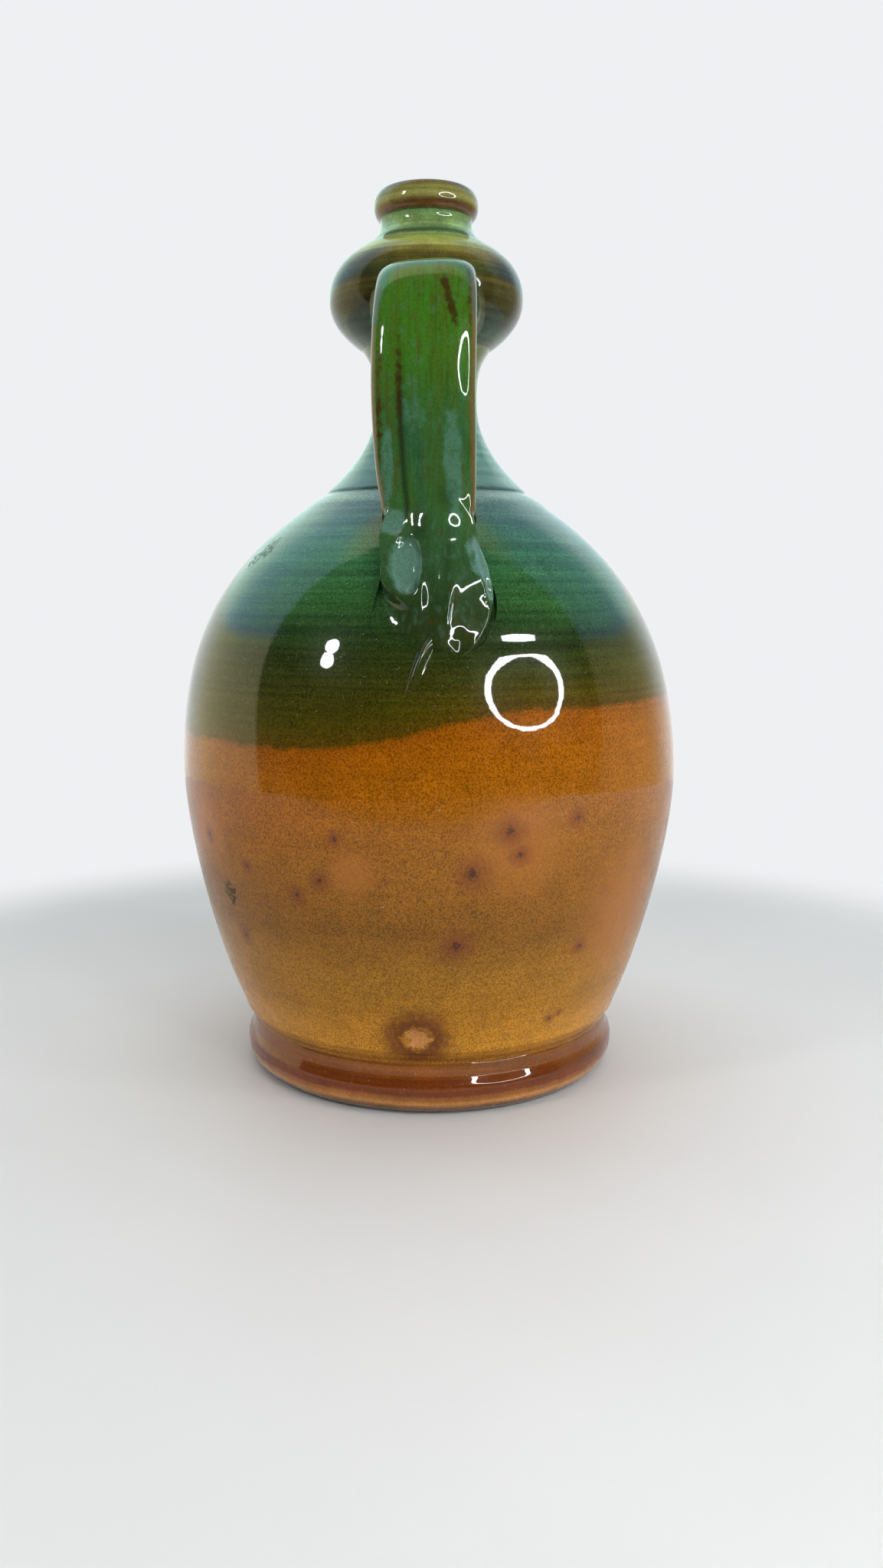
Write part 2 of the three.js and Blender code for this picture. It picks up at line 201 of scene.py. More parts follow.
def clay_object(name: str, points: Array, faces: Faces) -> bpy.types.Object:
    """Makes a smooth-shaded mesh object at the origin.

    Args:
        name: The object's name.
        points: Points in millimetres, one per row.
        faces: Corners of each face.

    Returns:
        The new object, in the scene.
    """
    mesh = bpy.data.meshes.new(name)
    mesh.from_pydata((points * MM).tolist(), [], faces)
    mesh.polygons.foreach_set("use_smooth", np.ones(len(mesh.polygons), dtype=bool))
    mesh.set_sharp_from_angle(angle=SHARP_ANGLE)
    mesh.update()
    made = bpy.data.objects.new(name, mesh)
    bpy.context.scene.collection.objects.link(made)
    return made


def paint(piece: bpy.types.Object, name: str, values: Array) -> None:
    """Stores one number per point on a piece, for its material to read.

    Args:
        piece: The piece.
        name: The attribute's name.
        values: One number for each of the first points; the rest get 0.
    """
    attribute = piece.data.attributes.new(name, "FLOAT", "POINT")
    numbers = np.zeros(len(piece.data.vertices), dtype=np.float32)
    numbers[: values.size] = values.ravel()
    attribute.data.foreach_set("value", numbers)


# Forms that the pieces share


@dataclass(frozen=True)
class Levels:
    """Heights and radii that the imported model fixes, read from its nodes' boxes."""

    foot_top: float
    shoulder: float
    crease: float
    bulb_top: float
    lip: float
    rim: float
    foot_radius: float
    belly_radius: float
    bulb_radius: float
    lip_radius: float

    @classmethod
    def from_frame(cls) -> Levels:
        """Reads each joint's height off the node below it, and each radius off its node's reach along +X.

        Returns:
            The levels.
        """
        stack = ("foot_ring", "body_wall", "neck_wall", "neck_bulb", "collar", "lip_roll")
        wide = ("foot_ring", "body_wall", "neck_bulb", "lip_roll")
        tops = (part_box(node)[1][2] / MM for node in stack)
        reaches = (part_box(node)[1][0] / MM for node in wide)
        return cls(*tops, *reaches)


@dataclass(frozen=True)
class Stretch:
    """One cubic stretch of a meridian; its handles are shares of its own run and rise."""

    start: Pair
    leave: Pair
    end: Pair
    arrive: Pair
    steps: int = 160

    def line(self, start_wall: float = 0.0, end_wall: float = 0.0) -> Array:
        """Follows the cubic (1-t)³a + 3(1-t)²t b + 3(1-t)t² c + t³d, moved inwards by a wall.

        Args:
            start_wall: How far the first half's control points move in.
            end_wall: How far the second half's move in.

        Returns:
            Radius and height, one point per row.
        """
        start = np.array(self.start)
        end = np.array(self.end)
        span = end - start
        handles = np.stack([start, start + span * self.leave, end - span * self.arrive, end])
        handles[:, 0] -= np.array([start_wall, start_wall, end_wall, end_wall])
        share = np.linspace(0.0, 1.0, self.steps)[:, None]
        rest = 1.0 - share
        return (
            rest**3 * handles[0]
            + 3.0 * rest**2 * share * handles[1]
            + 3.0 * rest * share**2 * handles[2]
            + share**3 * handles[3]
        )


@dataclass(frozen=True)
class Outline:
    """The stretches up one thrown piece, with the wall's thickness at each of their ends."""

    stretches: tuple[Stretch, ...]
    walls: tuple[float, ...] = ()

    def outside(self) -> Array:
        """The outer line, bottom to top."""
        return np.concatenate([stretch.line() for stretch in self.stretches])

    def inside(self) -> Array:
        """The inner line, bottom to top."""
        walls = zip(self.stretches, self.walls[:-1], self.walls[1:])
        return np.concatenate([stretch.line(low, high) for stretch, low, high in walls])

    def radius_at(self, height: Array) -> Array:
        """The outer radius at each height."""
        line = self.outside()
        return np.interp(height, line[:, 1], line[:, 0])


class Press(NamedTuple):
    """A mark pressed into clay: middle, depth or height, half sizes, and lean across per rise."""

    x: float
    z: float
    by: float
    across: float
    along: float
    lean: float = 0.0

    def reach(self, x: Array, z: Array) -> Array:
        """The distance from the middle, 1 at the mark's oval edge."""
        aside = x - self.x - self.lean * (z - self.z)
        return np.hypot(aside / self.across, (z - self.z) / self.along)

    def hollow(self, x: Array, z: Array) -> Array:
        """The height by on a flat floor, which falls to 0 from the flat share of the way to the edge."""
        return self.by * (1.0 - smooth_step(FLAT_SHARE, 1.0, self.reach(x, z)))

    def swelling(self, x: Array, z: Array) -> Array:
        """A round swelling, by exp(-reach²)."""
        return self.by * np.exp(-(self.reach(x, z) ** 2))


@dataclass(frozen=True)
class PottersHand:
    """What wheel and hand leave on a thrown wall: lean, ovalness, rings, grooves, a chip and a dent."""

    shoulder: float
    foot_top: float
    lean: float = -0.95
    lean_between: Pair = (95.0, 150.0)
    oval: float = 0.22
    oval_turn: float = 0.7
    ring: float = 0.010
    ring_pitch: float = 7.3
    ring_unevenness: Pair = (0.6, 0.4)
    ring_drift: float = 17.0
    fine_ring: float = 0.003
    fine_ring_pitch: float = 2.7
    fine_ring_sway: float = 2.0
    swell: float = 0.07
    swell_pitch: float = 61.0
    calm_inside: float = 45.0
    groove_above: float = 0.9
    groove_depth: float = 0.75
    groove_width: float = 0.75
    ridge: float = 0.35
    ridge_below: float = 2.0
    ridge_width: float = 1.5
    foot_ridge: float = 0.35
    foot_ridge_above: float = 4.6
    foot_groove: float = 0.45
    foot_groove_above: float = 1.0
    foot_line_width: float = 0.9
    chip: Press = Press(-3.5, 26.0, 0.7, 4.8, 3.3)
    dent: Press = Press(24.4, 142.4, 0.32, 11.0, 1.25)

    def shift(self, height: Array) -> Array:
        """How far the axis has leant sideways at each height."""
        return self.lean * smooth_step(*self.lean_between, height)

    def relief(self, radius: Array, height: Array, angle: Array) -> Array:
        """How far the skin stands out from the true form: waves, rings, grooves, chip and dent added up.

        Args:
            radius: True radius.
            height: Height above the table.
            angle: Angle round the axis from +X.

        Returns:
            The distance outwards.
        """
        turn = 2.0 * np.pi * height
        uneven = self.ring_unevenness[0] + self.ring_unevenness[1] * np.sin(angle + height / self.ring_drift)
        rings = self.ring * uneven * np.sin(turn / self.ring_pitch + angle)
        sway = self.fine_ring_sway * np.sin(angle)
        rings = rings + self.fine_ring * np.sin(turn / self.fine_ring_pitch + sway)
        wave = self.oval * np.cos(2.0 * angle + self.oval_turn)
        wave = wave + self.swell * np.sin(3.0 * angle + turn / self.swell_pitch)
        cuts = self.ridge * bell(height, self.shoulder - self.ridge_below, self.ridge_width)
        cuts -= self.groove_depth * bell(height, self.shoulder + self.groove_above, self.groove_width)
        cuts += self.foot_ridge * bell(height, self.foot_top + self.foot_ridge_above, self.foot_line_width)
        cuts -= self.foot_groove * bell(height, self.foot_top + self.foot_groove_above, self.foot_line_width)
        calm = smooth_step(0.0, self.calm_inside, radius)
        return (rings + wave) * calm + cuts - self.knocks(radius, height, angle)

    def knocks(self, radius: Array, height: Array, angle: Array) -> Array:
        """The depth of the chip and of the dent beside the strap's foot, on the -Y side only."""
        x = radius * np.cos(angle)
        return (self.chip.hollow(x, height) + self.dent.swelling(x, height)) * (np.sin(angle) < 0.0)

    def turned(self, line: Array, columns: int, skin_share: Array) -> Array:
        """Turns a line of radii and heights once round the leaning axis, with the hand's relief on its skin.

        Args:
            line: Radius and height, one point per row.
            columns: Points round the axis.
            skin_share: 1 in each row on the outer skin, 0 on the inner wall.

        Returns:
            A grid of points as rows, columns, xyz.
        """
        angle = turns(columns)
        radius = line[:, :1] + 0.0 * angle
        height = line[:, 1:] + 0.0 * angle
        reach = radius + skin_share * self.relief(radius, height, angle)
        x = reach * np.cos(angle) + self.shift(height)
        return np.stack([x, reach * np.sin(angle), height], axis=-1)

    def front(self, outline: Outline, x: Array, height: Array, proud: Array) -> Array:
        """Finds points on the handle's side of a thrown wall: y = -sqrt(r² - x²), moved out by proud.

        Args:
            outline: The wall's outline.
            x: Places across.
            height: Heights.
            proud: Distance out of the wall, along its radius.

        Returns:
            The points, with xyz last.
        """
        radius = outline.radius_at(height)
        aside = x - self.shift(height)
        angle = -np.arccos(np.clip(aside / radius, -1.0, 1.0))
        reach = radius + self.relief(radius, height, angle) + proud
        return np.stack([reach * np.cos(angle) + self.shift(height), reach * np.sin(angle), height], axis=-1)

    def thrown(self, name: str, outline: Outline, rows: tuple[int, int], columns: int) -> bpy.types.Object:
        """Turns an outline into a closed clay wall: outer line up, inner line down, once round the axis.

        Args:
            name: The object's name.
            outline: The wall's outline.
            rows: Points up the outside and down the inside.
            columns: Points round the axis.

        Returns:
            The new object.
        """
        outer = along_length(outline.outside(), rows[0], END_CROWDING)
        inner = along_length(outline.inside(), rows[1])[::-1]
        share = np.repeat([1.0, 0.0], rows)[:, None]
        grid = self.turned(np.concatenate([outer, inner]), columns, share)
        return clay_object(name, *skin(grid, Ends.JOINED))


# Finishes


class NodeSheet:
    """Lays out the nodes of one material, or of the surround; most methods return an output socket."""

    def __init__(self, owner: Union[bpy.types.Material, bpy.types.World]) -> None:
        """Starts with an empty node tree.

        Args:
            owner: The material or the world to lay out.
        """
        owner.use_nodes = True
        self.owner = owner
        self.tree = owner.node_tree
        self.tree.nodes.clear()

    @classmethod
    def of_material(cls, name: str) -> NodeSheet:
        """Starts an empty material."""
        return cls(bpy.data.materials.new(name))

    def node(self, kind: str, feeds: dict[Union[str, int], Feed], **settings: object) -> bpy.types.Node:
        """Adds a node.

        Args:
            kind: The node's type name.
            feeds: What goes into each input, by name or number: a socket or a plain value.
            settings: The node's own settings.

        Returns:
            The node.
        """
        made = self.tree.nodes.new(kind)
        for key, value in settings.items():
            setattr(made, key, value)
        for key, feed in feeds.items():
            if isinstance(feed, Socket):
                self.tree.links.new(feed, made.inputs[key])
            elif isinstance(feed, tuple) and len(made.inputs[key].default_value) == 4:
                made.inputs[key].default_value = (*feed, 1.0)
            else:
                made.inputs[key].default_value = feed
        return made

    def numbers(self, operation: str, first: Feed, second: Feed) -> Socket:
        """Works on two numbers."""
        return self.node("ShaderNodeMath", {0: first, 1: second}, operation=operation).outputs[0]

    def sum(self, first: Feed, second: Feed) -> Socket:
        """Adds two numbers."""
        return self.numbers("ADD", first, second)

    def times(self, first: Feed, second: Feed) -> Socket:
        """Multiplies two numbers."""
        return self.numbers("MULTIPLY", first, second)

    def vectors(self, operation: str, first: Feed, second: Feed = (0.0, 0.0, 0.0)) -> bpy.types.Node:
        """Works on one or two vectors."""
        return self.node("ShaderNodeVectorMath", {0: first, 1: second}, operation=operation)

    def stretch(self, vector: Feed, by: Triple) -> Socket:
        """A vector scaled by its own factor along each axis."""
        return self.vectors("MULTIPLY", vector, by).outputs[0]

    def place(self) -> Socket:
        """The point on the object, in millimetres."""
        coords = self.node("ShaderNodeTexCoord", {}).outputs["Object"]
        return self.stretch(coords, (1.0 / MM, 1.0 / MM, 1.0 / MM))

    def axes(self, vector: Feed) -> tuple[Socket, ...]:
        """The x, y and z of a vector."""
        return tuple(self.node("ShaderNodeSeparateXYZ", {0: vector}).outputs)

    def rays(self, kind: str) -> Socket:
        """1 for one kind of ray, 0 for the others."""
        return self.node("ShaderNodeLightPath", {}).outputs[f"Is {kind} Ray"]

    def noise(self, vector: Feed, scale: float = 1.0, detail: float = 2.0, output: str = "Fac") -> Socket:
        """Cloudy noise, from 0 to 1, or its colours."""
        feeds = {"Vector": vector, "Scale": scale, "Detail": detail}
        return self.node("ShaderNodeTexNoise", feeds).outputs[output]

    def grade(self, value: Feed, ends: Pair, low: float = 0.0, high: float = 1.0) -> Socket:
        """Carries a number smoothly from one range to another, and holds it at the ends.

        Args:
            value: The number.
            ends: Start and end of its range.
            low: Result at the start.
            high: Result at the end.

        Returns:
            The graded number.
        """
        feeds = {"Value": value, "From Min": ends[0], "From Max": ends[1], "To Min": low, "To Max": high}
        return self.node("ShaderNodeMapRange", feeds, interpolation_type="SMOOTHSTEP").outputs["Result"]

    def blend(self, share: Feed, first: Feed, second: Feed, way: str = "MIX") -> Socket:
        """Blends two colours by a share."""
        feeds = {0: share, 6: first, 7: second}
        return self.node("ShaderNodeMix", feeds, data_type="RGBA", blend_type=way).outputs[2]

    def shade(self, colour: Feed, factor: Feed) -> Socket:
        """Multiplies a colour by a factor."""
        return self.blend(1.0, colour, factor, "MULTIPLY")

    def ramp(self, value: Feed, stops: tuple[tuple[float, Triple], ...]) -> Socket:
        """Reads colours off a row of stops.

        Args:
            value: A number from 0 to 1.
            stops: Place and colour of each stop, in order.

        Returns:
            The colour.
        """
        made = self.node("ShaderNodeValToRGB", {0: value})
        elements = made.color_ramp.elements
        for number, (at, colour) in enumerate(stops):
            stop = elements[number] if number < 2 else elements.new(at)
            stop.position = at
            stop.color = (*colour, 1.0)
        return made.outputs[0]

    def painted(self, name: str) -> Socket:
        """A number that a piece stores on its points."""
        return self.node("ShaderNodeAttribute", {}, attribute_name=name).outputs["Fac"]

    def surface(self, colour: Feed, roughness: Feed, height: Feed, body: Substance, coat: Feed) -> None:
        """Closes the material: a glossy or matt surface with a fine relief, under a sharp coat or none.

        Args:
            colour: Its colour.
            roughness: Its roughness.
            height: The relief, from 0 to 1.
            body: What it is made of.
            coat: How much of the clear coat it has.
        """
        feeds = {"Height": height, "Distance": body.relief * MM, "Strength": 1.0}
        bump = self.node("ShaderNodeBump", feeds).outputs[0]
        feeds = {"Base Color": colour, "Roughness": roughness, "IOR": body.ior, "Normal": bump}
        coats = {"Coat Weight": coat, "Coat Roughness": COAT_ROUGHNESS, "Coat IOR": COAT_IOR}
        coats["Coat Normal"] = bump
        shader = self.node("ShaderNodeBsdfPrincipled", {**feeds, **coats})
        self.node("ShaderNodeOutputMaterial", {"Surface": shader.outputs[0]})


class Substance(NamedTuple):
    """What a surface is made of: its refractive index and the depth of its fine relief."""

    ior: float
    relief: float


GLAZED = Substance(ior=1.15, relief=0.012)
UNGLAZED = Substance(ior=1.45, relief=0.25)
GLAZE_COAT = 0.8
GLAZE_ROUGHNESS = 0.25
COAT_ROUGHNESS = 0.03
COAT_IOR = 1.5
DULLED = 1.5
PINHOLE_SHARE = 0.12


class Finish(Protocol):
    """A finish, which makes its own material."""

    def material(self) -> bpy.types.Material:
        """Makes the material."""


class Zone(NamedTuple):
    """A glaze colour at one height."""

    height: float
    red: float
    green: float
    blue: float


class Spot(NamedTuple):
    """A round mark in the glaze: its middle and its radius."""

    x: float
    y: float
    z: float
    radius: float


@dataclass(frozen=True)
class ThrownGlaze:
    """A glossy lead glaze in zones of colour one above the other, streaked by the turning of the wheel."""

    name: str
    zones: tuple[Zone, ...]
    wander: float = 1.2
    streak: float = 0.35
    grain: float = 0.10
    shine: float = GLAZE_COAT
    clouds: Pair = (0.90, 1.08)
    cloud_scale: float = 0.11
    speckle_scale: float = 1.9
    dust: Triple = (0.30, 0.32, 0.28)
    dust_scale: float = 1.3
    drip_run: Triple = (0.3, 0.3, 0.03)
    drip_share: float = 0.4
    ring_run: Triple = (0.014, 0.014, 0.75)

    def material(self) -> bpy.types.Material:
        """Makes the material: zoned colour, gloss, and a faint orange peel of soft waves with pinholes.

        Returns:
            The material.
        """
        sheet = NodeSheet.of_material(self.name)
        place = sheet.place()
        peel = sheet.sum(sheet.noise(place, 0.25), sheet.times(sheet.noise(place, 1.4), PINHOLE_SHARE))
        gloss = self.gloss(sheet, place)
        sheet.surface(self.colour(sheet, place), gloss, peel, GLAZED, self.coat(sheet, place))
        return sheet.owner

    def level(self, sheet: NodeSheet, place: Feed) -> Socket:
        """The height that picks a zone: z, strayed by slow noise and by fine noise drawn out downwards.

        Args:
            sheet: The node sheet.
            place: The point on the object.

        Returns:
            The height.
        """
        slow = sheet.grade(sheet.noise(place, 0.035), (0.2, 0.8), -self.wander, self.wander)
        fine = self.drip_share * self.wander
        drips = sheet.grade(sheet.noise(sheet.stretch(place, self.drip_run)), (0.2, 0.8), -fine, fine)
        return sheet.sum(sheet.axes(place)[2], sheet.sum(slow, drips))

    def colour(self, sheet: NodeSheet, place: Feed) -> Socket:
        """Zones of colour, times ring streaks, grain and clouds, under a few specks of dust.

        Args:
            sheet: The node sheet.
            place: The point on the object.

        Returns:
            The colour.
        """
        low = self.zones[0].height
        high = self.zones[-1].height
        feeds = {"Value": self.level(sheet, place), "From Min": low, "From Max": high}
        share = sheet.node("ShaderNodeMapRange", feeds).outputs["Result"]
        stops = tuple(((zone.height - low) / (high - low), zone[1:]) for zone in self.zones)
        zoned = sheet.ramp(share, stops)
        rings = sheet.grade(sheet.noise(sheet.stretch(place, self.ring_run), detail=3.0), (0.25, 0.75), -1.0)
        streaked = sheet.shade(zoned, sheet.sum(1.0, sheet.times(rings, self.streaks(sheet, place))))
        speckle = sheet.noise(place, self.speckle_scale, 4.0)
        speckle = sheet.grade(speckle, (0.32, 0.64), 1.0 - 2.2 * self.grain, 1.0 + self.grain)
        clouds = sheet.grade(sheet.noise(place, self.cloud_scale, 3.0), (0.25, 0.75), *self.clouds)
        grained = sheet.shade(streaked, sheet.times(speckle, clouds))
        specks = sheet.grade(sheet.noise(place, self.dust_scale, 1.0), (0.735, 0.77), 0.0, 0.45)
        return sheet.blend(specks, grained, self.dust)

    def streaks(self, sheet: NodeSheet, place: Feed) -> Feed:
        """How strong the ring streaks are."""
        return self.streak

    def coat(self, sheet: NodeSheet, place: Feed) -> Feed:
        """How much of the sharp outer coat there is."""
        return self.shine

    def gloss(self, sheet: NodeSheet, place: Feed) -> Socket:
        """The roughness: glossy, with duller patches where it is handled."""
        patches = sheet.noise(place, 0.08, 4.0)
        return sheet.grade(patches, (0.35, 0.8), GLAZE_ROUGHNESS, DULLED * GLAZE_ROUGHNESS)


@dataclass(frozen=True)
class BodyGlaze(ThrownGlaze):
    """The body's glaze: amber under olive and green, with iron spots, scuffs, and a chip to bare clay."""

    spots: tuple[Spot, ...] = ()
    chips: tuple[Spot, ...] = ()
    blushes_and_light: tuple[Spot, ...] = ()
    scuffs: tuple[Spot, ...] = ()
    out_of_reach: float = 9.0
    rise: float = 11.0
    rise_across: Pair = (-46.0, 36.0)
    rise_above: Pair = (66.0, 100.0)
    steady_above: Pair = (126.0, 141.0)
    stray_above: Pair = (30.0, 70.0)
    calm_below: Pair = (118.0, 130.0)
    calm_streak: float = 0.07
    dull_below: Pair = (112.0, 84.0)
    dull_coat: float = 0.42
    scuffed_coat: float = 0.15
    ragged: Triple = (7.0, 3.0, 5.0)
    halo: Triple = (0.20, 0.050, 0.012)
    core: Triple = (0.045, 0.016, 0.012)
    scorch: Triple = (0.140, 0.033, 0.005)
    # Warm patch colour: glaze round the iron spots, and painted light low on the right.
    blush_and_light: Triple = (0.50, 0.170, 0.026)
    bare_clay: Triple = (0.65, 0.284, 0.090)
    worn: Triple = (0.030, 0.032, 0.018)

    def level(self, sheet: NodeSheet, place: Feed) -> Socket:
        """The zone height, steady near the foot and lowered on the right so that the amber climbs there.

        Args:
            sheet: The node sheet.
            place: The point on the object.

        Returns:
            The height.
        """
        x, _, z = sheet.axes(place)
        climb = sheet.grade(x, self.rise_across, 0.0, -self.rise)
        belt = sheet.times(sheet.grade(z, self.steady_above, 1.0, 0.0), sheet.grade(z, self.rise_above))
        stray = sheet.sum(super().level(sheet, place), sheet.times(z, -1.0))
        strayed = sheet.sum(z, sheet.times(stray, sheet.grade(z, self.stray_above)))
        return sheet.sum(strayed, sheet.times(climb, belt))

    def streaks(self, sheet: NodeSheet, place: Feed) -> Socket:
        """Ring streaks that are strong in the green and faint in the amber."""
        return sheet.grade(sheet.axes(place)[2], self.calm_below, self.calm_streak, self.streak)

    def nearest(self, sheet: NodeSheet, place: Feed, marks: tuple[Spot, ...]) -> Socket:
        """The distance to the nearest mark, in that mark's radii.

        Args:
            sheet: The node sheet.
            place: The point on the object.
            marks: The marks.

        Returns:
            The distance, 1 at a mark's edge.
        """
        near: Feed = self.out_of_reach
        for mark in marks:
            reach = sheet.vectors("DISTANCE", place, mark[:3]).outputs["Value"]
            near = sheet.numbers("MINIMUM", near, sheet.times(reach, 1.0 / mark.radius))
        return near

    def chip_reach(self, sheet: NodeSheet, place: Feed) -> Socket:
        """The distance to the nearest chip with a ragged edge: noise strays the point first.

        Args:
            sheet: The node sheet.
            place: The point on the object.

        Returns:
            The distance, 1 at a chip's edge.
        """
        noise = sheet.noise(place, 0.5, output="Color")
        centred = sheet.vectors("SUBTRACT", noise, (0.5, 0.5, 0.5)).outputs[0]
        strayed = sheet.vectors("ADD", place, sheet.stretch(centred, self.ragged)).outputs[0]
        return self.nearest(sheet, strayed, self.chips)

    def scuffing(self, sheet: NodeSheet, place: Feed) -> Socket:
        """Where the glaze is scuffed: coarse specks that thin out from the middle of each scuff."""
        near = sheet.grade(self.nearest(sheet, place, self.scuffs), (0.4, 1.0), 0.15, -0.2)
        return sheet.grade(sheet.sum(sheet.noise(place, 0.75, 3.0), near), (0.60, 0.66))

    def colour(self, sheet: NodeSheet, place: Feed) -> Socket:
        """Zones, warm patches and scuffs, then each iron spot's halo and core, then each chip's scorch and
        clay; the widest warm patch, low on the right, is painted light.

        Args:
            sheet: The node sheet.
            place: The point on the object.

        Returns:
            The colour.
        """
        # Painted light in part: the wide warm patch low on the right brightens that side.
        flush_and_light = sheet.grade(self.nearest(sheet, place, self.blushes_and_light), (0.2, 1.1), 0.55, 0.0)
        blushed_and_lit = sheet.blend(flush_and_light, super().colour(sheet, place), self.blush_and_light)
        scuffed = sheet.blend(sheet.times(self.scuffing(sheet, place), 0.8), blushed_and_lit, self.worn)
        freckle = sheet.grade(sheet.noise(place, 1.1, 3.0), (0.2, 0.8), -0.22, 0.22)
        near = sheet.sum(self.nearest(sheet, place, self.spots), freckle)
        haloed = sheet.blend(sheet.grade(near, (0.15, 1.5), 0.7, 0.0), scuffed, self.halo)
        spotted = sheet.blend(sheet.grade(near, (0.05, 0.36), 0.8, 0.0), haloed, self.core)
        reach = self.chip_reach(sheet, place)
        burnt = sheet.grade(reach, (1.0, 1.5), 0.35, 0.9)
        burnt = sheet.times(burnt, sheet.grade(reach, (1.5, 3.7), 1.0, 0.0))
        scorched = sheet.blend(burnt, spotted, self.scorch)
        grit = sheet.grade(sheet.noise(place, 0.9, 3.0), (0.3, 0.7), 0.72, 1.1)
        clay = sheet.shade(self.bare_clay, grit)
        return sheet.blend(sheet.grade(reach, (0.84, 1.02), 1.0, 0.0), scorched, clay)

    def coat(self, sheet: NodeSheet, place: Feed) -> Socket:
        """A full coat above, a duller one low down, little on scuffs and none on the bare clay of a chip.

        Args:
            sheet: The node sheet.
            place: The point on the object.

        Returns:
            The coat's weight.
        """
        full = sheet.grade(sheet.axes(place)[2], self.dull_below, self.shine, self.dull_coat)
        whole = sheet.grade(self.scuffing(sheet, place), (0.0, 1.0), 1.0, self.scuffed_coat)
        glazed = sheet.grade(self.chip_reach(sheet, place), (0.86, 1.0))
        return sheet.times(sheet.times(full, whole), glazed)

    def gloss(self, sheet: NodeSheet, place: Feed) -> Socket:
        """The glaze's roughness, and dry clay in the chips."""
        bare = sheet.grade(self.chip_reach(sheet, place), (0.86, 1.0), 0.6, 0.0)
        return sheet.sum(super().gloss(sheet, place), bare)


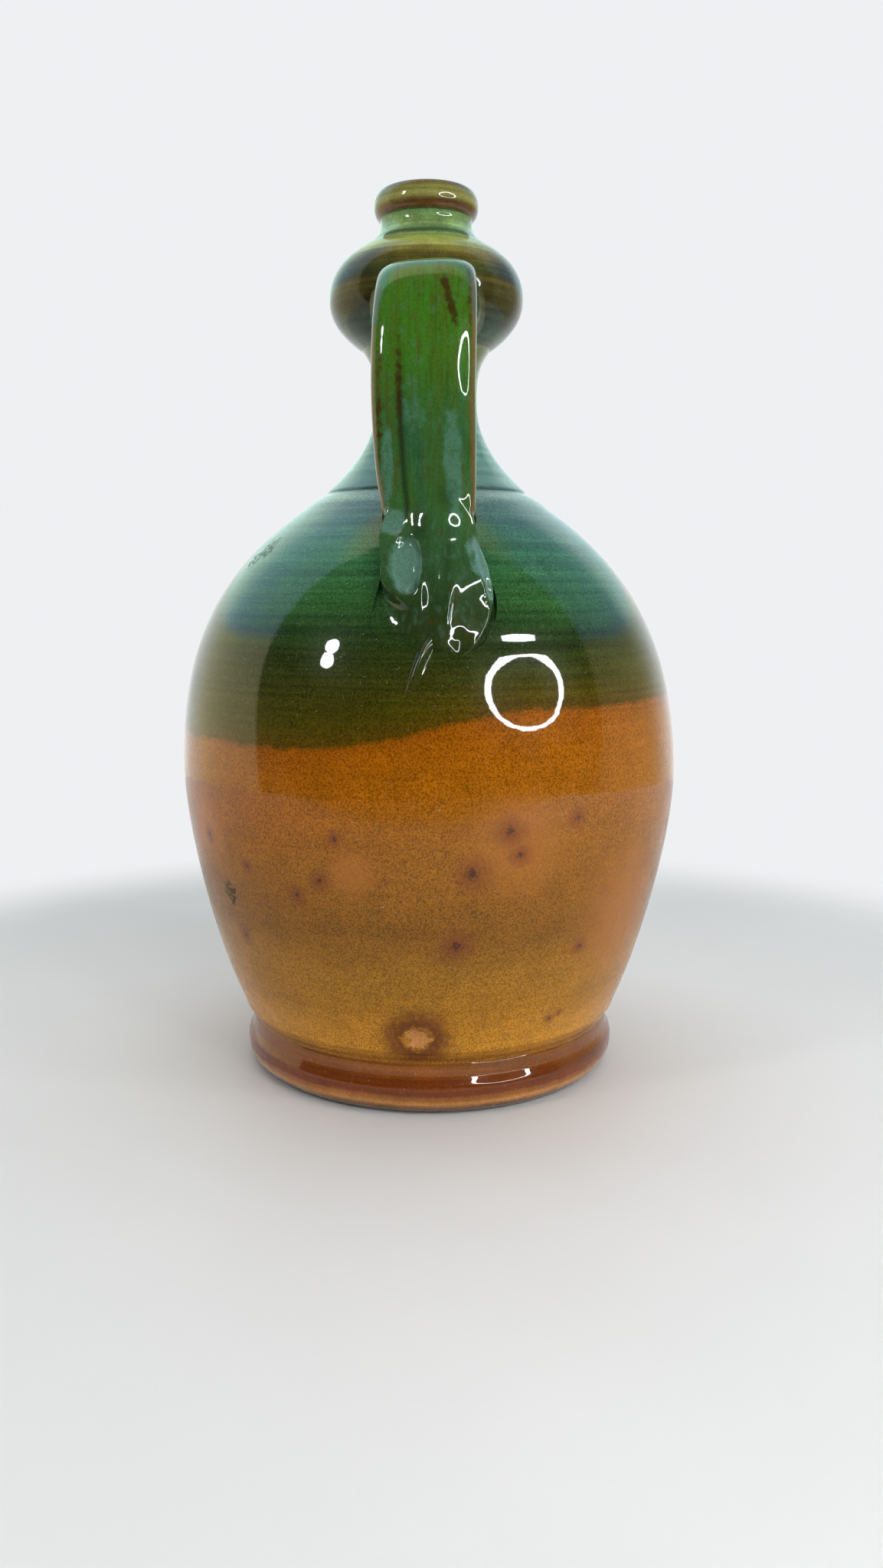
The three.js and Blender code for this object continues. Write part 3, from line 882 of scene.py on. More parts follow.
@dataclass(frozen=True)
class HandleGlaze:
    """The handle's glaze: green, olive and brown streaks down the pull, broken to brown on its rims."""

    name: str
    wall: BodyGlaze
    green: Triple = (0.050, 0.190, 0.012)
    olive: Triple = (0.064, 0.150, 0.008)
    teal: Triple = (0.030, 0.112, 0.042)
    # The two pale colours below: thick glaze in the hollows, partly a painted reflection of the bright
    # surround.
    milky_reflection: Triple = (0.088, 0.222, 0.132)
    thumbed: Triple = (0.130, 0.265, 0.195)
    brown: Triple = (0.085, 0.040, 0.006)
    rim: Triple = (0.145, 0.085, 0.026)
    stain: Triple = (0.050, 0.022, 0.003)
    dark: Triple = (0.016, 0.030, 0.006)
    foot_low: Triple = (0.030, 0.032, 0.004)
    foot_middle: Triple = (0.020, 0.046, 0.009)
    foot_high: Triple = (0.036, 0.108, 0.034)
    foot_span: Pair = (132.0, 174.0)
    dark_below: Pair = (186.0, 166.0)
    thumbed_below: Pair = (182.0, 170.0)
    teal_below: Pair = (224.0, 196.0)
    hairs_above: Pair = (166.0, 192.0)
    hair_run: Triple = (1.5, 0.05, 0.05)
    broad_run: Triple = (0.30, 0.022, 0.022)
    blot_run: Triple = (0.55, 0.16, 0.16)
    pool_reflection_run: Triple = (0.5, 0.28, 0.28)

    def material(self) -> bpy.types.Material:
        """Makes the material: streaks along the pull, the piece's own marks, the wall's glaze at its edges.

        Returns:
            The material.
        """
        sheet = NodeSheet.of_material(self.name)
        place = sheet.place()
        hairs = sheet.noise(sheet.stretch(place, self.hair_run), detail=3.0)
        colour = self.marks(sheet, place, hairs, self.pulled(sheet, place, hairs))
        colour = sheet.blend(sheet.painted("merge"), colour, self.wall.colour(sheet, place))
        colour = sheet.shade(colour, sheet.grade(sheet.noise(place, 1.7, 3.0), (0.34, 0.66), 0.84, 1.10))
        patches = sheet.noise(place, 0.1, 3.0)
        gloss = sheet.grade(patches, (0.35, 0.8), GLAZE_ROUGHNESS, DULLED * GLAZE_ROUGHNESS)
        peel = sheet.sum(sheet.noise(place, 0.3), sheet.times(sheet.noise(place, 1.2), PINHOLE_SHARE))
        sheet.surface(colour, gloss, peel, GLAZED, GLAZE_COAT)
        return sheet.owner

    def pulled(self, sheet: NodeSheet, place: Feed, hairs: Feed) -> Socket:
        """Streaks down the pull: green and olive, cooler lower down, dark at the foot, with brown hairs.

        Args:
            sheet: The node sheet.
            place: The point on the object.
            hairs: The fine streaks.

        Returns:
            The streaked colour.
        """
        height = sheet.axes(place)[2]
        broad = sheet.noise(sheet.stretch(place, self.broad_run))
        colour = sheet.blend(sheet.grade(broad, (0.40, 0.62)), self.green, self.olive)
        cool = sheet.times(sheet.grade(height, self.teal_below), sheet.grade(broad, (0.3, 0.55), 0.95, 0.50))
        colour = sheet.blend(cool, colour, self.teal)
        stops = ((0.0, self.foot_low), (0.5, self.foot_middle), (1.0, self.foot_high))
        run_out = sheet.ramp(sheet.grade(height, self.foot_span), stops)
        colour = sheet.blend(sheet.grade(height, self.dark_below, 0.0, 0.92), colour, run_out)
        blots = sheet.noise(sheet.stretch(place, self.blot_run), detail=4.0)
        colour = sheet.blend(sheet.grade(blots, (0.56, 0.72), 0.0, 0.45), colour, self.brown)
        threads = sheet.grade(hairs, (0.50, 0.72), 0.0, 0.5)
        threads = sheet.times(threads, sheet.grade(height, self.hairs_above))
        colour = sheet.blend(threads, colour, self.brown)
        return sheet.blend(sheet.grade(hairs, (0.48, 0.30), 0.0, 0.35), colour, self.dark)

    def marks(self, sheet: NodeSheet, place: Feed, hairs: Feed, colour: Feed) -> Socket:
        """Adds what is painted on the piece: pale patches of thick glaze that are partly painted reflection,
        dark creases, brown runs and brown rims.

        Args:
            sheet: The node sheet.
            place: The point on the object.
            hairs: The fine streaks.
            colour: The streaked colour.

        Returns:
            The marked colour.
        """
        # Pale patches: thick glaze together with a painted reflection of the bright surround in the hollows
        # and dished runs.
        ragged = sheet.noise(sheet.stretch(place, self.pool_reflection_run), detail=3.0)
        pools_and_reflections = sheet.sum(sheet.painted("pool_reflection"), sheet.grade(ragged, (0.25, 0.75), -0.40, 0.40))
        pooled_reflection = sheet.blend(sheet.grade(sheet.axes(place)[2], self.thumbed_below), self.milky_reflection, self.thumbed)
        colour = sheet.blend(sheet.grade(pools_and_reflections, (0.0, 1.2), 0.0, 0.92), colour, pooled_reflection)
        colour = sheet.blend(sheet.times(sheet.painted("crease"), 0.9), colour, self.dark)
        blotches = sheet.grade(sheet.noise(place, 0.6), (0.3, 0.7), -0.25, 0.2)
        run = sheet.sum(sheet.painted("stain"), blotches)
        colour = sheet.blend(sheet.grade(run, (0.2, 0.8), 0.0, 0.9), colour, self.stain)
        frayed = sheet.sum(sheet.painted("rim"), sheet.grade(hairs, (0.3, 0.7), -0.2, 0.2))
        return sheet.blend(sheet.grade(frayed, (0.2, 0.8), 0.0, 0.9), colour, self.rim)


@dataclass(frozen=True)
class BareClay:
    """Unglazed fired clay: matt, mottled and gritty."""

    name: str
    pale: Triple = (0.42, 0.26, 0.15)
    dark: Triple = (0.24, 0.12, 0.06)

    def material(self) -> bpy.types.Material:
        """Makes the material from two scales of mottling and grit.

        Returns:
            The material.
        """
        sheet = NodeSheet.of_material(self.name)
        place = sheet.place()
        mottle = sheet.grade(sheet.noise(place, 0.08, 4.0), (0.3, 0.7))
        grit = sheet.noise(place, 1.2, 4.0)
        colour = sheet.blend(mottle, self.pale, self.dark)
        colour = sheet.shade(colour, sheet.grade(grit, (0.3, 0.6), 0.7, 1.1))
        sheet.surface(colour, sheet.grade(grit, (0.3, 0.7), 0.7, 0.95), grit, UNGLAZED, 0.0)
        return sheet.owner


# The jug, bottom to top


class Piece(NamedTuple):
    """A built piece, the record's slot for it, the nodes that it stands for, and its finish."""

    made: bpy.types.Object
    slot: str
    nodes: tuple[str, ...]
    finish: Finish


class SubAssembly:
    """A part of the jug, which builds its pieces and dresses them."""

    def build(self) -> list[Piece]:
        """Builds the pieces."""
        raise NotImplementedError

    def dress(self) -> None:
        """Lets each piece ride on the jug and stand for its nodes, and gives it its finish."""
        finishes: dict[Finish, bpy.types.Material] = {}
        for made, slot, nodes, finish in self.build():
            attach(made, BODY_NAME)
            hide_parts(*nodes)
            if finish not in finishes:
                finishes[finish] = finish.material()
            made.data.materials.append(finishes[finish])
            LOG.info("%s: %d points, for %s", made.name, len(made.data.vertices), ", ".join(nodes))


@dataclass
class Base(SubAssembly):
    """The flat floor and the rounded foot ring round it."""

    levels: Levels
    hand: PottersHand
    roll_rise: float = 7.2
    break_rise: float = 12.4
    break_setback: float = 1.6
    undercut: float = 6.1
    groove: float = 2.0
    wall: float = 7.0
    floor_thickness: float = 7.0
    floor_overlap: float = 0.05
    floor_bevel: float = 1.0
    floor_ring: float = 0.08
    floor_ring_pitch: float = 4.1
    floor_margin: float = 4.0
    floor_middle: float = 1.0
    floor_rows: int = 60
    rows: tuple[int, int] = (72, 10)
    columns: int = 320
    glaze: ThrownGlaze = ThrownGlaze(
        name="foot_glaze",
        # Bands up the foot, partly the glaze's own colour and partly painted light: painted shade at the
        # undercut by the table (heights 0 to 2.6) and in the groove at the top (16.8), and a painted
        # reflection of the bright surround on the upper slope (13.2 to 15.4), which faces up.
        zones=(
            Zone(0.0, 0.160, 0.070, 0.020),
            Zone(2.6, 0.180, 0.075, 0.018),
            Zone(4.0, 0.560, 0.240, 0.058),
            Zone(5.4, 0.410, 0.150, 0.028),
            Zone(7.2, 0.170, 0.032, 0.003),
            Zone(11.6, 0.205, 0.046, 0.004),
            Zone(13.2, 0.275, 0.078, 0.006),
            Zone(15.4, 0.270, 0.080, 0.006),
            Zone(16.8, 0.170, 0.060, 0.008),
        ),
        wander=0.5,
        streak=0.25,
    )
    clay: BareClay = BareClay("bare_clay")

    def inner(self) -> float:
        """The radius of the foot's straight inner wall."""
        return self.levels.foot_radius - self.groove - self.wall

    def outline(self) -> Outline:
        """The foot: undercut at the table, full at the roll, a break above it, then in to the body's groove.

        Returns:
            Its outline.
        """
        radius = self.levels.foot_radius
        contact = (radius - self.undercut, 0.0)
        roll = (radius, self.roll_rise)
        above = (radius - self.break_setback, self.break_rise)
        top = (radius - self.groove, self.levels.foot_top)
        stretches = (
            Stretch(contact, (0.62, 0.1), roll, (0.0, 0.55)),
            Stretch(roll, (0.0, 0.5), above, (0.85, 0.45)),
            Stretch(above, (0.3, 0.3), top, (0.6, 0.3)),
        )
        return Outline(stretches, tuple(point[0] - self.inner() for point in (contact, roll, above, top)))

    def floor(self) -> bpy.types.Object:
        """The floor: a disc, flat below with faint turning rings, up to the foot's inner wall.

        Returns:
            The floor, as one object.
        """
        rim = self.inner() + self.floor_overlap
        under = np.linspace(self.floor_middle, rim, self.floor_rows)
        rings = self.floor_ring * (1.0 + np.sin(2.0 * np.pi * under / self.floor_ring_pitch))
        rings = rings * smooth_step(rim, rim - self.floor_margin, under)
        side = self.floor_thickness - self.floor_bevel
        radius = np.concatenate([under, [rim, rim - self.floor_bevel, self.floor_middle]])[:, None]
        height = np.concatenate([rings, [side, self.floor_thickness, self.floor_thickness]])[:, None]
        angle = turns(self.columns // 2)
        grid = np.stack([radius * np.cos(angle), radius * np.sin(angle), height + 0.0 * angle], axis=-1)
        return clay_object("base_slab_turned", *skin(grid, Ends.CAPPED))

    def build(self) -> list[Piece]:
        """Builds the foot ring with its worn brown glaze, banded partly in painted shade and reflection, and
        the bare floor.

        Returns:
            The foot ring and the floor.
        """
        foot = self.hand.thrown("foot_ring_glazed", self.outline(), self.rows, self.columns)
        return [
            Piece(foot, "foot_glaze", ("foot_ring",), self.glaze),
            Piece(self.floor(), "bare_clay", ("base_slab",), self.clay),
        ]


@dataclass
class Body(SubAssembly):
    """The thrown ovoid wall, from the groove above the foot to the groove at the shoulder."""

    levels: Levels
    hand: PottersHand
    belly_rise: float = 84.0
    foot_groove: float = 2.0
    shoulder_radius: float = 34.0
    walls: Triple = (7.0, 6.0, 9.5)
    rows: tuple[int, int] = (176, 24)
    columns: int = 400
    glaze: BodyGlaze = BodyGlaze(
        name="body_glaze",
        # Zones up the wall: amber low down, then olive, then green and teal at the shoulder. The dark zones
        # at 14 and 187 are painted shade in the grooves above the foot and at the shoulder, and the pale zone
        # at 184.4 is a painted highlight on the ridge below the shoulder's groove.
        zones=(
            Zone(14.0, 0.160, 0.060, 0.009),
            Zone(18.0, 0.400, 0.155, 0.012),
            Zone(22.0, 0.610, 0.265, 0.018),
            Zone(27.0, 0.580, 0.245, 0.014),
            Zone(34.0, 0.450, 0.190, 0.010),
            Zone(45.0, 0.400, 0.172, 0.010),
            Zone(60.0, 0.270, 0.104, 0.005),
            Zone(78.0, 0.360, 0.130, 0.006),
            Zone(92.0, 0.400, 0.126, 0.003),
            Zone(108.0, 0.380, 0.108, 0.001),
            Zone(112.4, 0.330, 0.090, 0.001),
            Zone(114.0, 0.100, 0.055, 0.001),
            Zone(119.0, 0.075, 0.058, 0.001),
            Zone(127.0, 0.048, 0.050, 0.003),
            Zone(139.5, 0.026, 0.042, 0.005),
            Zone(144.5, 0.022, 0.052, 0.010),
            Zone(149.0, 0.027, 0.080, 0.018),
            Zone(155.0, 0.038, 0.130, 0.032),
            Zone(168.0, 0.042, 0.168, 0.060),
            Zone(176.0, 0.058, 0.165, 0.088),
            Zone(181.5, 0.085, 0.180, 0.110),
            Zone(184.4, 0.200, 0.320, 0.220),
            Zone(187.0, 0.060, 0.120, 0.085),
        ),
        streak=0.30,
        grain=0.22,
        spots=(
            Spot(22.6, -76.9, 90.6, 5.0),
            Spot(25.5, -75.1, 83.8, 3.6),
            Spot(12.0, -77.7, 78.7, 5.5),
            Spot(-31.3, -71.5, 75.5, 3.4),
            Spot(-38.1, -67.1, 70.4, 3.2),
            Spot(-26.5, -75.4, 88.4, 2.4),
            Spot(7.7, -73.7, 56.9, 5.6),
            Spot(44.3, -58.1, 52.8, 3.0),
            Spot(-53.7, -57.0, 76.6, 2.6),
            Spot(-56.1, -47.0, 53.1, 3.2),
            Spot(41.9, -68.5, 93.2, 3.2),
            Spot(-66.8, -42.8, 83.4, 3.0),
            Spot(36.2, -54.6, 29.0, 2.2),
            Spot(39.1, -53.2, 30.5, 1.6),
            Spot(70.5, 36.0, 72.0, 3.8),
            Spot(-62.0, 49.5, 84.0, 4.2),
            Spot(24.0, 76.0, 88.0, 4.6),
            Spot(14.0, 73.5, 58.0, 3.8),
            Spot(-30.0, 72.0, 70.0, 5.2),
            Spot(-44.0, 55.0, 46.0, 3.4),
            Spot(76.0, -20.0, 66.0, 3.2),
            Spot(-76.5, 16.0, 68.0, 3.6),
        ),
        chips=(Spot(-3.5, -64.1, 25.8, 3.7),),
        # Warm patches: round the iron spots they are the glaze's own colour; the wide one low on the right,
        # at x 58 and z 60, is painted light that brightens that side.
        blushes_and_light=(
            Spot(25.0, -75.5, 87.0, 19.0),
            Spot(-22.0, -76.5, 78.0, 9.0),
            Spot(-68.0, -41.0, 86.0, 14.0),
            Spot(58.0, -45.0, 60.0, 27.0),
        ),
        scuffs=(
            Spot(-49.0, -26.0, 169.0, 7.5),
            Spot(-53.4, -24.0, 165.5, 6.5),
            Spot(-61.0, -47.0, 66.0, 6.5),
        ),
    )

    def outline(self) -> Outline:
        """The wall: out from the foot to the belly, then in over the shoulder.

        Returns:
            Its outline.
        """
        foot = (self.levels.foot_radius - self.foot_groove, self.levels.foot_top)
        belly = (self.levels.belly_radius, self.levels.foot_top + self.belly_rise)
        shoulder = (self.shoulder_radius, self.levels.shoulder)
        stretches = (
            Stretch(foot, (0.54, 0.254), belly, (0.0, 0.269)),
            Stretch(belly, (0.0, 0.661), shoulder, (0.3, 0.12)),
        )
        return Outline(stretches, self.walls)

    def build(self) -> list[Piece]:
        """Builds the wall with its amber, olive and green glaze."""
        wall = self.hand.thrown("body_wall_glazed", self.outline(), self.rows, self.columns)
        return [Piece(wall, "body_glaze", ("body_wall",), self.glaze)]


@dataclass
class Neck(SubAssembly):
    """The concave neck and the hollow bulb above it."""

    levels: Levels
    hand: PottersHand
    shoulder_radius: float = 34.0
    waist_rise: float = 31.0
    waist_radius: float = 16.2
    crease_radius: float = 20.3
    bulb_rise: float = 15.0
    bulb_top_radius: float = 16.4
    bore: float = 10.0
    neck_walls: Triple = (9.5, 5.0, 6.3)
    bulb_walls: Pair = (6.3, 5.0)
    rows: tuple[int, int] = (110, 24)
    columns: int = 200
    neck_glaze: ThrownGlaze = ThrownGlaze(
        name="neck_glaze",
        # As on the body below: the pale zone at 184.4 is a painted highlight on the shoulder's ridge and the
        # dark zone at 187 is painted shade in the shoulder's groove.
        zones=(
            Zone(184.4, 0.200, 0.320, 0.220),
            Zone(187.0, 0.055, 0.110, 0.075),
            Zone(189.2, 0.135, 0.270, 0.175),
            Zone(200.0, 0.135, 0.290, 0.170),
            Zone(217.0, 0.110, 0.250, 0.145),
            Zone(227.0, 0.130, 0.210, 0.090),
            Zone(233.0, 0.150, 0.170, 0.060),
        ),
        wander=0.3,
        streak=0.25,
    )
    bulb_glaze: ThrownGlaze = ThrownGlaze(
        name="bulb_glaze",
        zones=(
            Zone(231.0, 0.120, 0.150, 0.060),
            Zone(234.0, 0.050, 0.100, 0.045),
            Zone(238.0, 0.020, 0.040, 0.016),
            Zone(242.0, 0.030, 0.026, 0.005),
            Zone(249.0, 0.072, 0.062, 0.012),
            Zone(251.5, 0.060, 0.078, 0.022),
            Zone(253.5, 0.120, 0.105, 0.022),
            Zone(256.0, 0.170, 0.135, 0.022),
            Zone(259.5, 0.270, 0.300, 0.055),
            Zone(262.3, 0.290, 0.360, 0.085),
            Zone(264.2, 0.100, 0.190, 0.080),
            Zone(266.0, 0.090, 0.190, 0.080),
        ),
        wander=0.5,
        streak=0.4,
        shine=0.55,
        clouds=(0.65, 1.35),
    )

    def neck_outline(self) -> Outline:
        """The neck: in from the shoulder to the waist, then out to the crease under the bulb.

        Returns:
            Its outline.
        """
        shoulder = (self.shoulder_radius, self.levels.shoulder)
        waist = (self.waist_radius, self.levels.shoulder + self.waist_rise)
        crease = (self.crease_radius, self.levels.crease)
        stretches = (
            Stretch(shoulder, (0.956, 0.457), waist, (0.0, 0.22)),
            Stretch(waist, (0.0, 0.476), crease, (0.86, 0.325)),
        )
        return Outline(stretches, self.neck_walls)

    def bulb_outline(self) -> Outline:
        """The bulb: out from the crease to its full width, then in to the collar.

        Returns:
            Its outline.
        """
        crease = (self.crease_radius, self.levels.crease)
        full = (self.levels.bulb_radius, self.levels.crease + self.bulb_rise)
        top = (self.bulb_top_radius, self.levels.bulb_top)
        stretches = (
            Stretch(crease, (0.99, 0.447), full, (0.0, 0.163)),
            Stretch(full, (0.0, 0.68), top, (0.18, 0.166)),
        )
        return Outline(stretches, (*self.bulb_walls, self.bulb_top_radius - self.bore))

    def build(self) -> list[Piece]:
        """Builds the neck with its blue-green glaze and the bulb with its brown and green bands.

        Returns:
            The neck and the bulb.
        """
        neck = self.hand.thrown("neck_wall_glazed", self.neck_outline(), self.rows, self.columns)
        bulb = self.hand.thrown("neck_bulb_glazed", self.bulb_outline(), self.rows, self.columns)
        return [
            Piece(neck, "neck_glaze", ("neck_wall",), self.neck_glaze),
            Piece(bulb, "bulb_glaze", ("neck_bulb",), self.bulb_glaze),
        ]


@dataclass
class Mouth(SubAssembly):
    """The short waisted collar and the rolled lip round the mouth."""

    levels: Levels
    hand: PottersHand
    collar_radius: float = 16.4
    lip_overhang: float = 1.9
    lip_roll_rise: float = 4.0
    lip_crown_setback: float = 3.4
    bore: float = 10.0
    collar_rows: tuple[int, int] = (40, 6)
    lip_rows: int = 90
    columns: int = 200
    collar_glaze: ThrownGlaze = ThrownGlaze(
        name="collar_glaze",
        zones=(
            Zone(264.6, 0.090, 0.190, 0.080),
            Zone(266.2, 0.310, 0.500, 0.180),
            Zone(267.4, 0.350, 0.520, 0.170),
            Zone(269.8, 0.190, 0.320, 0.105),
            Zone(271.6, 0.120, 0.250, 0.090),
        ),
        wander=0.4,
        streak=0.25,
        clouds=(0.55, 1.25),
    )
    lip_glaze: ThrownGlaze = ThrownGlaze(
        name="lip_glaze",
        zones=(
            Zone(270.8, 0.100, 0.200, 0.080),
            Zone(271.6, 0.140, 0.060, 0.016),
            Zone(273.2, 0.150, 0.066, 0.016),
            Zone(274.6, 0.290, 0.275, 0.075),
            Zone(277.4, 0.270, 0.255, 0.065),
            Zone(279.2, 0.120, 0.062, 0.016),
            Zone(280.4, 0.080, 0.042, 0.012),
        ),
        wander=0.4,
        streak=0.25,
    )

    def collar_outline(self) -> Outline:
        """The collar: one waisted stretch with a straight bore.

        Returns:
            Its outline.
        """
        low = (self.collar_radius, self.levels.bulb_top)
        top = (self.levels.lip_radius - self.lip_overhang, self.levels.lip)
        stretch = Stretch(low, (0.74, 0.23), top, (-0.37, 0.38))
        return Outline((stretch,), (low[0] - self.bore, top[0] - self.bore))

    def lip_outline(self) -> Outline:
        """The lip: out round the roll, over the crown, and down the mouth to the level where it starts.

        Returns:
            Its outline.
        """
        radius = self.levels.lip_radius
        roll = self.levels.lip + self.lip_roll_rise
        low = (radius - self.lip_overhang, self.levels.lip)
        full = (radius, roll)
        crown = (radius - self.lip_crown_setback, self.levels.rim)
        throat = (self.bore, roll)
        return Outline((
            Stretch(low, (0.55, 0.1), full, (0.0, 0.55)),
            Stretch(full, (0.0, 0.55), crown, (0.55, 0.0)),
            Stretch(crown, (0.55, 0.0), throat, (0.0, 0.55)),
            Stretch(throat, (0.0, 0.3), (self.bore, self.levels.lip), (0.0, 0.3)),
        ))

    def build(self) -> list[Piece]:
        """Builds the collar with its pale green glaze and the lip with its brown edges.

        Returns:
            The collar and the lip.
        """
        collar = self.hand.thrown("collar_glazed", self.collar_outline(), self.collar_rows, self.columns)
        line = along_length(self.lip_outline().outside(), self.lip_rows)
        grid = self.hand.turned(line, self.columns, np.ones((1, 1)))
        lip = clay_object("lip_roll_glazed", *skin(grid, Ends.JOINED))
        return [
            Piece(collar, "lip_glaze", ("collar",), self.collar_glaze),
            Piece(lip, "lip_glaze", ("lip_roll",), self.lip_glaze),
        ]


class Station(NamedTuple):
    """The strap at one place: reach from the axis, height, both edges across, and thickness."""

    reach: float
    height: float
    left: float
    right: float
    thickness: float


@dataclass
class Handle(SubAssembly):
    """The pulled strap with its root on the bulb, its thumbed end on the shoulder and its wiped tail."""

    body: Outline
    bulb: Outline
    hand: PottersHand
    glaze: HandleGlaze
    stations: tuple[Station, ...] = (
        Station(18.0, 243.0, -13.6, 13.4, 10.0),
        Station(28.0, 243.9, -14.2, 13.5, 10.0),
        Station(36.0, 244.9, -14.5, 13.4, 9.2),
        Station(44.2, 243.9, -14.8, 13.3, 9.0),
        Station(50.6, 238.6, -15.3, 13.3, 9.0),
        Station(54.6, 230.5, -15.8, 13.2, 9.0),
        Station(56.6, 221.0, -16.1, 13.0, 8.9),
        Station(57.1, 211.0, -16.2, 12.9, 8.8),
        Station(56.1, 200.0, -15.8, 13.1, 8.8),
        Station(55.1, 188.0, -14.8, 13.2, 9.0),
        Station(55.3, 178.5, -13.4, 13.2, 9.4),
        Station(58.4, 169.5, -13.4, 13.4, 9.6),
        Station(63.4, 160.5, -13.6, 16.8, 8.8),
        Station(67.2, 152.5, -15.4, 18.8, 7.4),
        Station(70.0, 146.0, -15.8, 17.2, 6.0),
        Station(72.2, 141.0, -11.0, 13.6, 3.8),
        Station(73.4, 137.0, -6.0, 8.0, 1.6),
    )
    rows: int = 260
    columns: int = 128
    section_steps: int = 4001
    outer_face: Pair = (0.1, 0.8)
    heel_face: Pair = (-0.1, 0.5)
    rim_face: Pair = (-0.4, 0.3)
    squareness: Pair = (0.50, 0.80)
    crown_tilt: float = 0.05
    crown_from: Pair = (225.0, 240.0)
    dome: float = 0.9
    dish: float = 0.5
    dish_from: Pair = (206.0, 186.0)
    crease_at: float = -0.45
    crease_width: float = 0.055
    crease_depth: float = 0.28
    crease_top: Pair = (222.0, 208.0)
    crease_bottom: Pair = (172.0, 178.0)
    heel: tuple[Pair, ...] = (
        (136.8, -0.8),
        (138.4, 0.1),
        (140.5, 1.1),
        (144.0, 2.2),
        (150.0, 4.2),
        (156.0, 6.2),
        (161.0, 7.8),
        (165.0, 9.3),
        (168.0, 9.9),
        (171.0, 10.4),
        (174.0, 11.5),
        (177.0, 14.0),
        (182.0, 20.2),
    )
    heel_from: Pair = (180.0, 169.0)
    heel_spread: Pair = (161.0, 148.0)
    heel_crest: float = 3.5
    heel_sink: Pair = (0.03, 0.5)
    left_slope: Pair = (1.5, 15.0)
    right_slope: float = 2.0
    right_fall: Pair = (0.12, 0.80)
    right_fall_power: float = 1.15
    merge: Pair = (1.7, 0.25)
    hollows: tuple[Press, ...] = (
        Press(-5.9, 163.6, 2.7, 4.6, 9.4, 0.06),
        Press(-8.9, 175.6, 0.9, 3.6, 4.4),
        Press(14.8, 160.5, 1.2, 1.9, 13.0, -0.36),
    )
    swellings: tuple[Press, ...] = (
        Press(-2.4, 161.5, 0.9, 1.3, 8.5),
        Press(1.4, 161.5, 0.6, 1.1, 4.5),
        Press(4.8, 152.0, 0.6, 1.1, 8.0, 0.11),
        Press(-0.4, 145.5, -1.6, 2.3, 9.5, 0.135),
        Press(12.8, 142.5, 0.5, 2.0, 3.0),
        Press(8.2, 142.8, -0.5, 1.8, 3.2),
        Press(-13.8, 167.5, 1.2, 1.6, 3.8),
    )
    knuckle: Press = Press(2.7, 176.0, 2.7, 7.4, 7.6)
    knuckle_edge: float = 0.14
    shades: tuple[Press, ...] = (
        Press(-2.6, 174.0, 0.75, 2.2, 4.5),
        Press(4.6, 183.0, 0.60, 2.6, 3.4),
        Press(-1.2, 157.0, 0.65, 0.9, 12.0, 0.03),
        Press(4.3, 166.0, 0.60, 0.9, 6.5),
    )
    # Runs of pale thick glaze on the lower strap, partly a painted reflection.
    pool_reflection_runs: tuple[Press, ...] = (
        Press(-11.8, 190.5, 1.00, 2.4, 15.0),
        Press(-4.0, 208.0, 0.34, 5.4, 9.5),
        Press(6.6, 191.5, 0.95, 3.3, 18.5, -0.05),
        Press(11.6, 165.5, 0.85, 3.2, 7.0, -0.30),
    )
    fullest_pool_reflection: float = 1.5
    brown_runs: tuple[Press, ...] = (
        Press(-8.4, 214.0, 0.80, 1.0, 15.0),
        Press(-14.0, 204.0, 0.80, 1.1, 20.0),
        Press(11.2, 236.0, 0.75, 0.8, 10.0),
    )
    stain: tuple[Pair, Pair] = ((4.2, 241.5), (7.0, 229.5))
    stain_width: float = 1.3
    stain_fades: tuple[Pair, Pair] = ((-0.3, 0.1), (1.3, 0.8))
    rim_bands: tuple[Pair, Pair] = ((-0.97, 0.05), (0.93, 0.045))
    rim_wash: float = 0.3
    rim_wash_from: Pair = (0.45, 0.95)
    rim_above: Pair = (152.0, 170.0)
    root_at: Pair = (-0.6, 240.0)
    root_half: Pair = (14.0, 6.0)
    root_squareness: Pair = (0.6, 0.8)
    root_inset: float = 3.0
    root_flare: Pair = (3.6, 5.5)
    root_flare_below: Pair = (0.3, -1.0)
    root_height: float = 3.4
    root_fall: float = 1.5
    root_bed: float = 0.35
    root_sink: float = 2.5
    root_grid: tuple[int, int] = (26, 96)
    root_glaze: ThrownGlaze = ThrownGlaze(
        name="root_glaze",
        zones=(
            Zone(226.0, 0.200, 0.200, 0.085),
            Zone(231.0, 0.150, 0.160, 0.060),
            Zone(236.0, 0.050, 0.085, 0.030),
            Zone(244.0, 0.044, 0.050, 0.010),
        ),
        wander=0.8,
    )
    tail_top: Pair = (4.9, 150.0)
    tail_foot: Pair = (-6.2, 125.0)
    tail_bow: float = -0.9
    tail_twist: float = 0.2
    tail_half: Pair = (5.2, 2.2)
    tail_height: Pair = (2.6, 0.5)
    tail_crest: float = -0.45
    tail_sides: Pair = (0.22, 0.62)
    tail_bed: float = 0.2
    tail_sink: float = 1.6
    tail_fades: tuple[Pair, Pair] = ((0.0, 0.4), (1.0, 0.7))
    tail_rim: float = 0.25
    tail_rim_above: Pair = (0.9, 1.7)
    tail_merge: Pair = (1.5, 0.2)
    tail_grid: tuple[int, int] = (90, 25)

    def section(self) -> Array:
        """A squared oval (sgn cos |cos|^p, sgn sin |sin|^q), its points spaced evenly round it.

        Returns:
            Across and outward shares, from -1 to 1, one point per row.
        """
        turn = np.linspace(0.0, 2.0 * np.pi, self.section_steps)
        wide = squared(np.cos(turn), self.squareness[0])
        deep = squared(np.sin(turn), self.squareness[1])
        middle = self.stations[len(self.stations) // 2]
        sizes = np.array([(middle.right - middle.left) / 2.0, middle.thickness / 2.0])
        line = along_length(np.stack([wide, deep], axis=1) * sizes, self.columns + 1)
        return line[:-1] / sizes

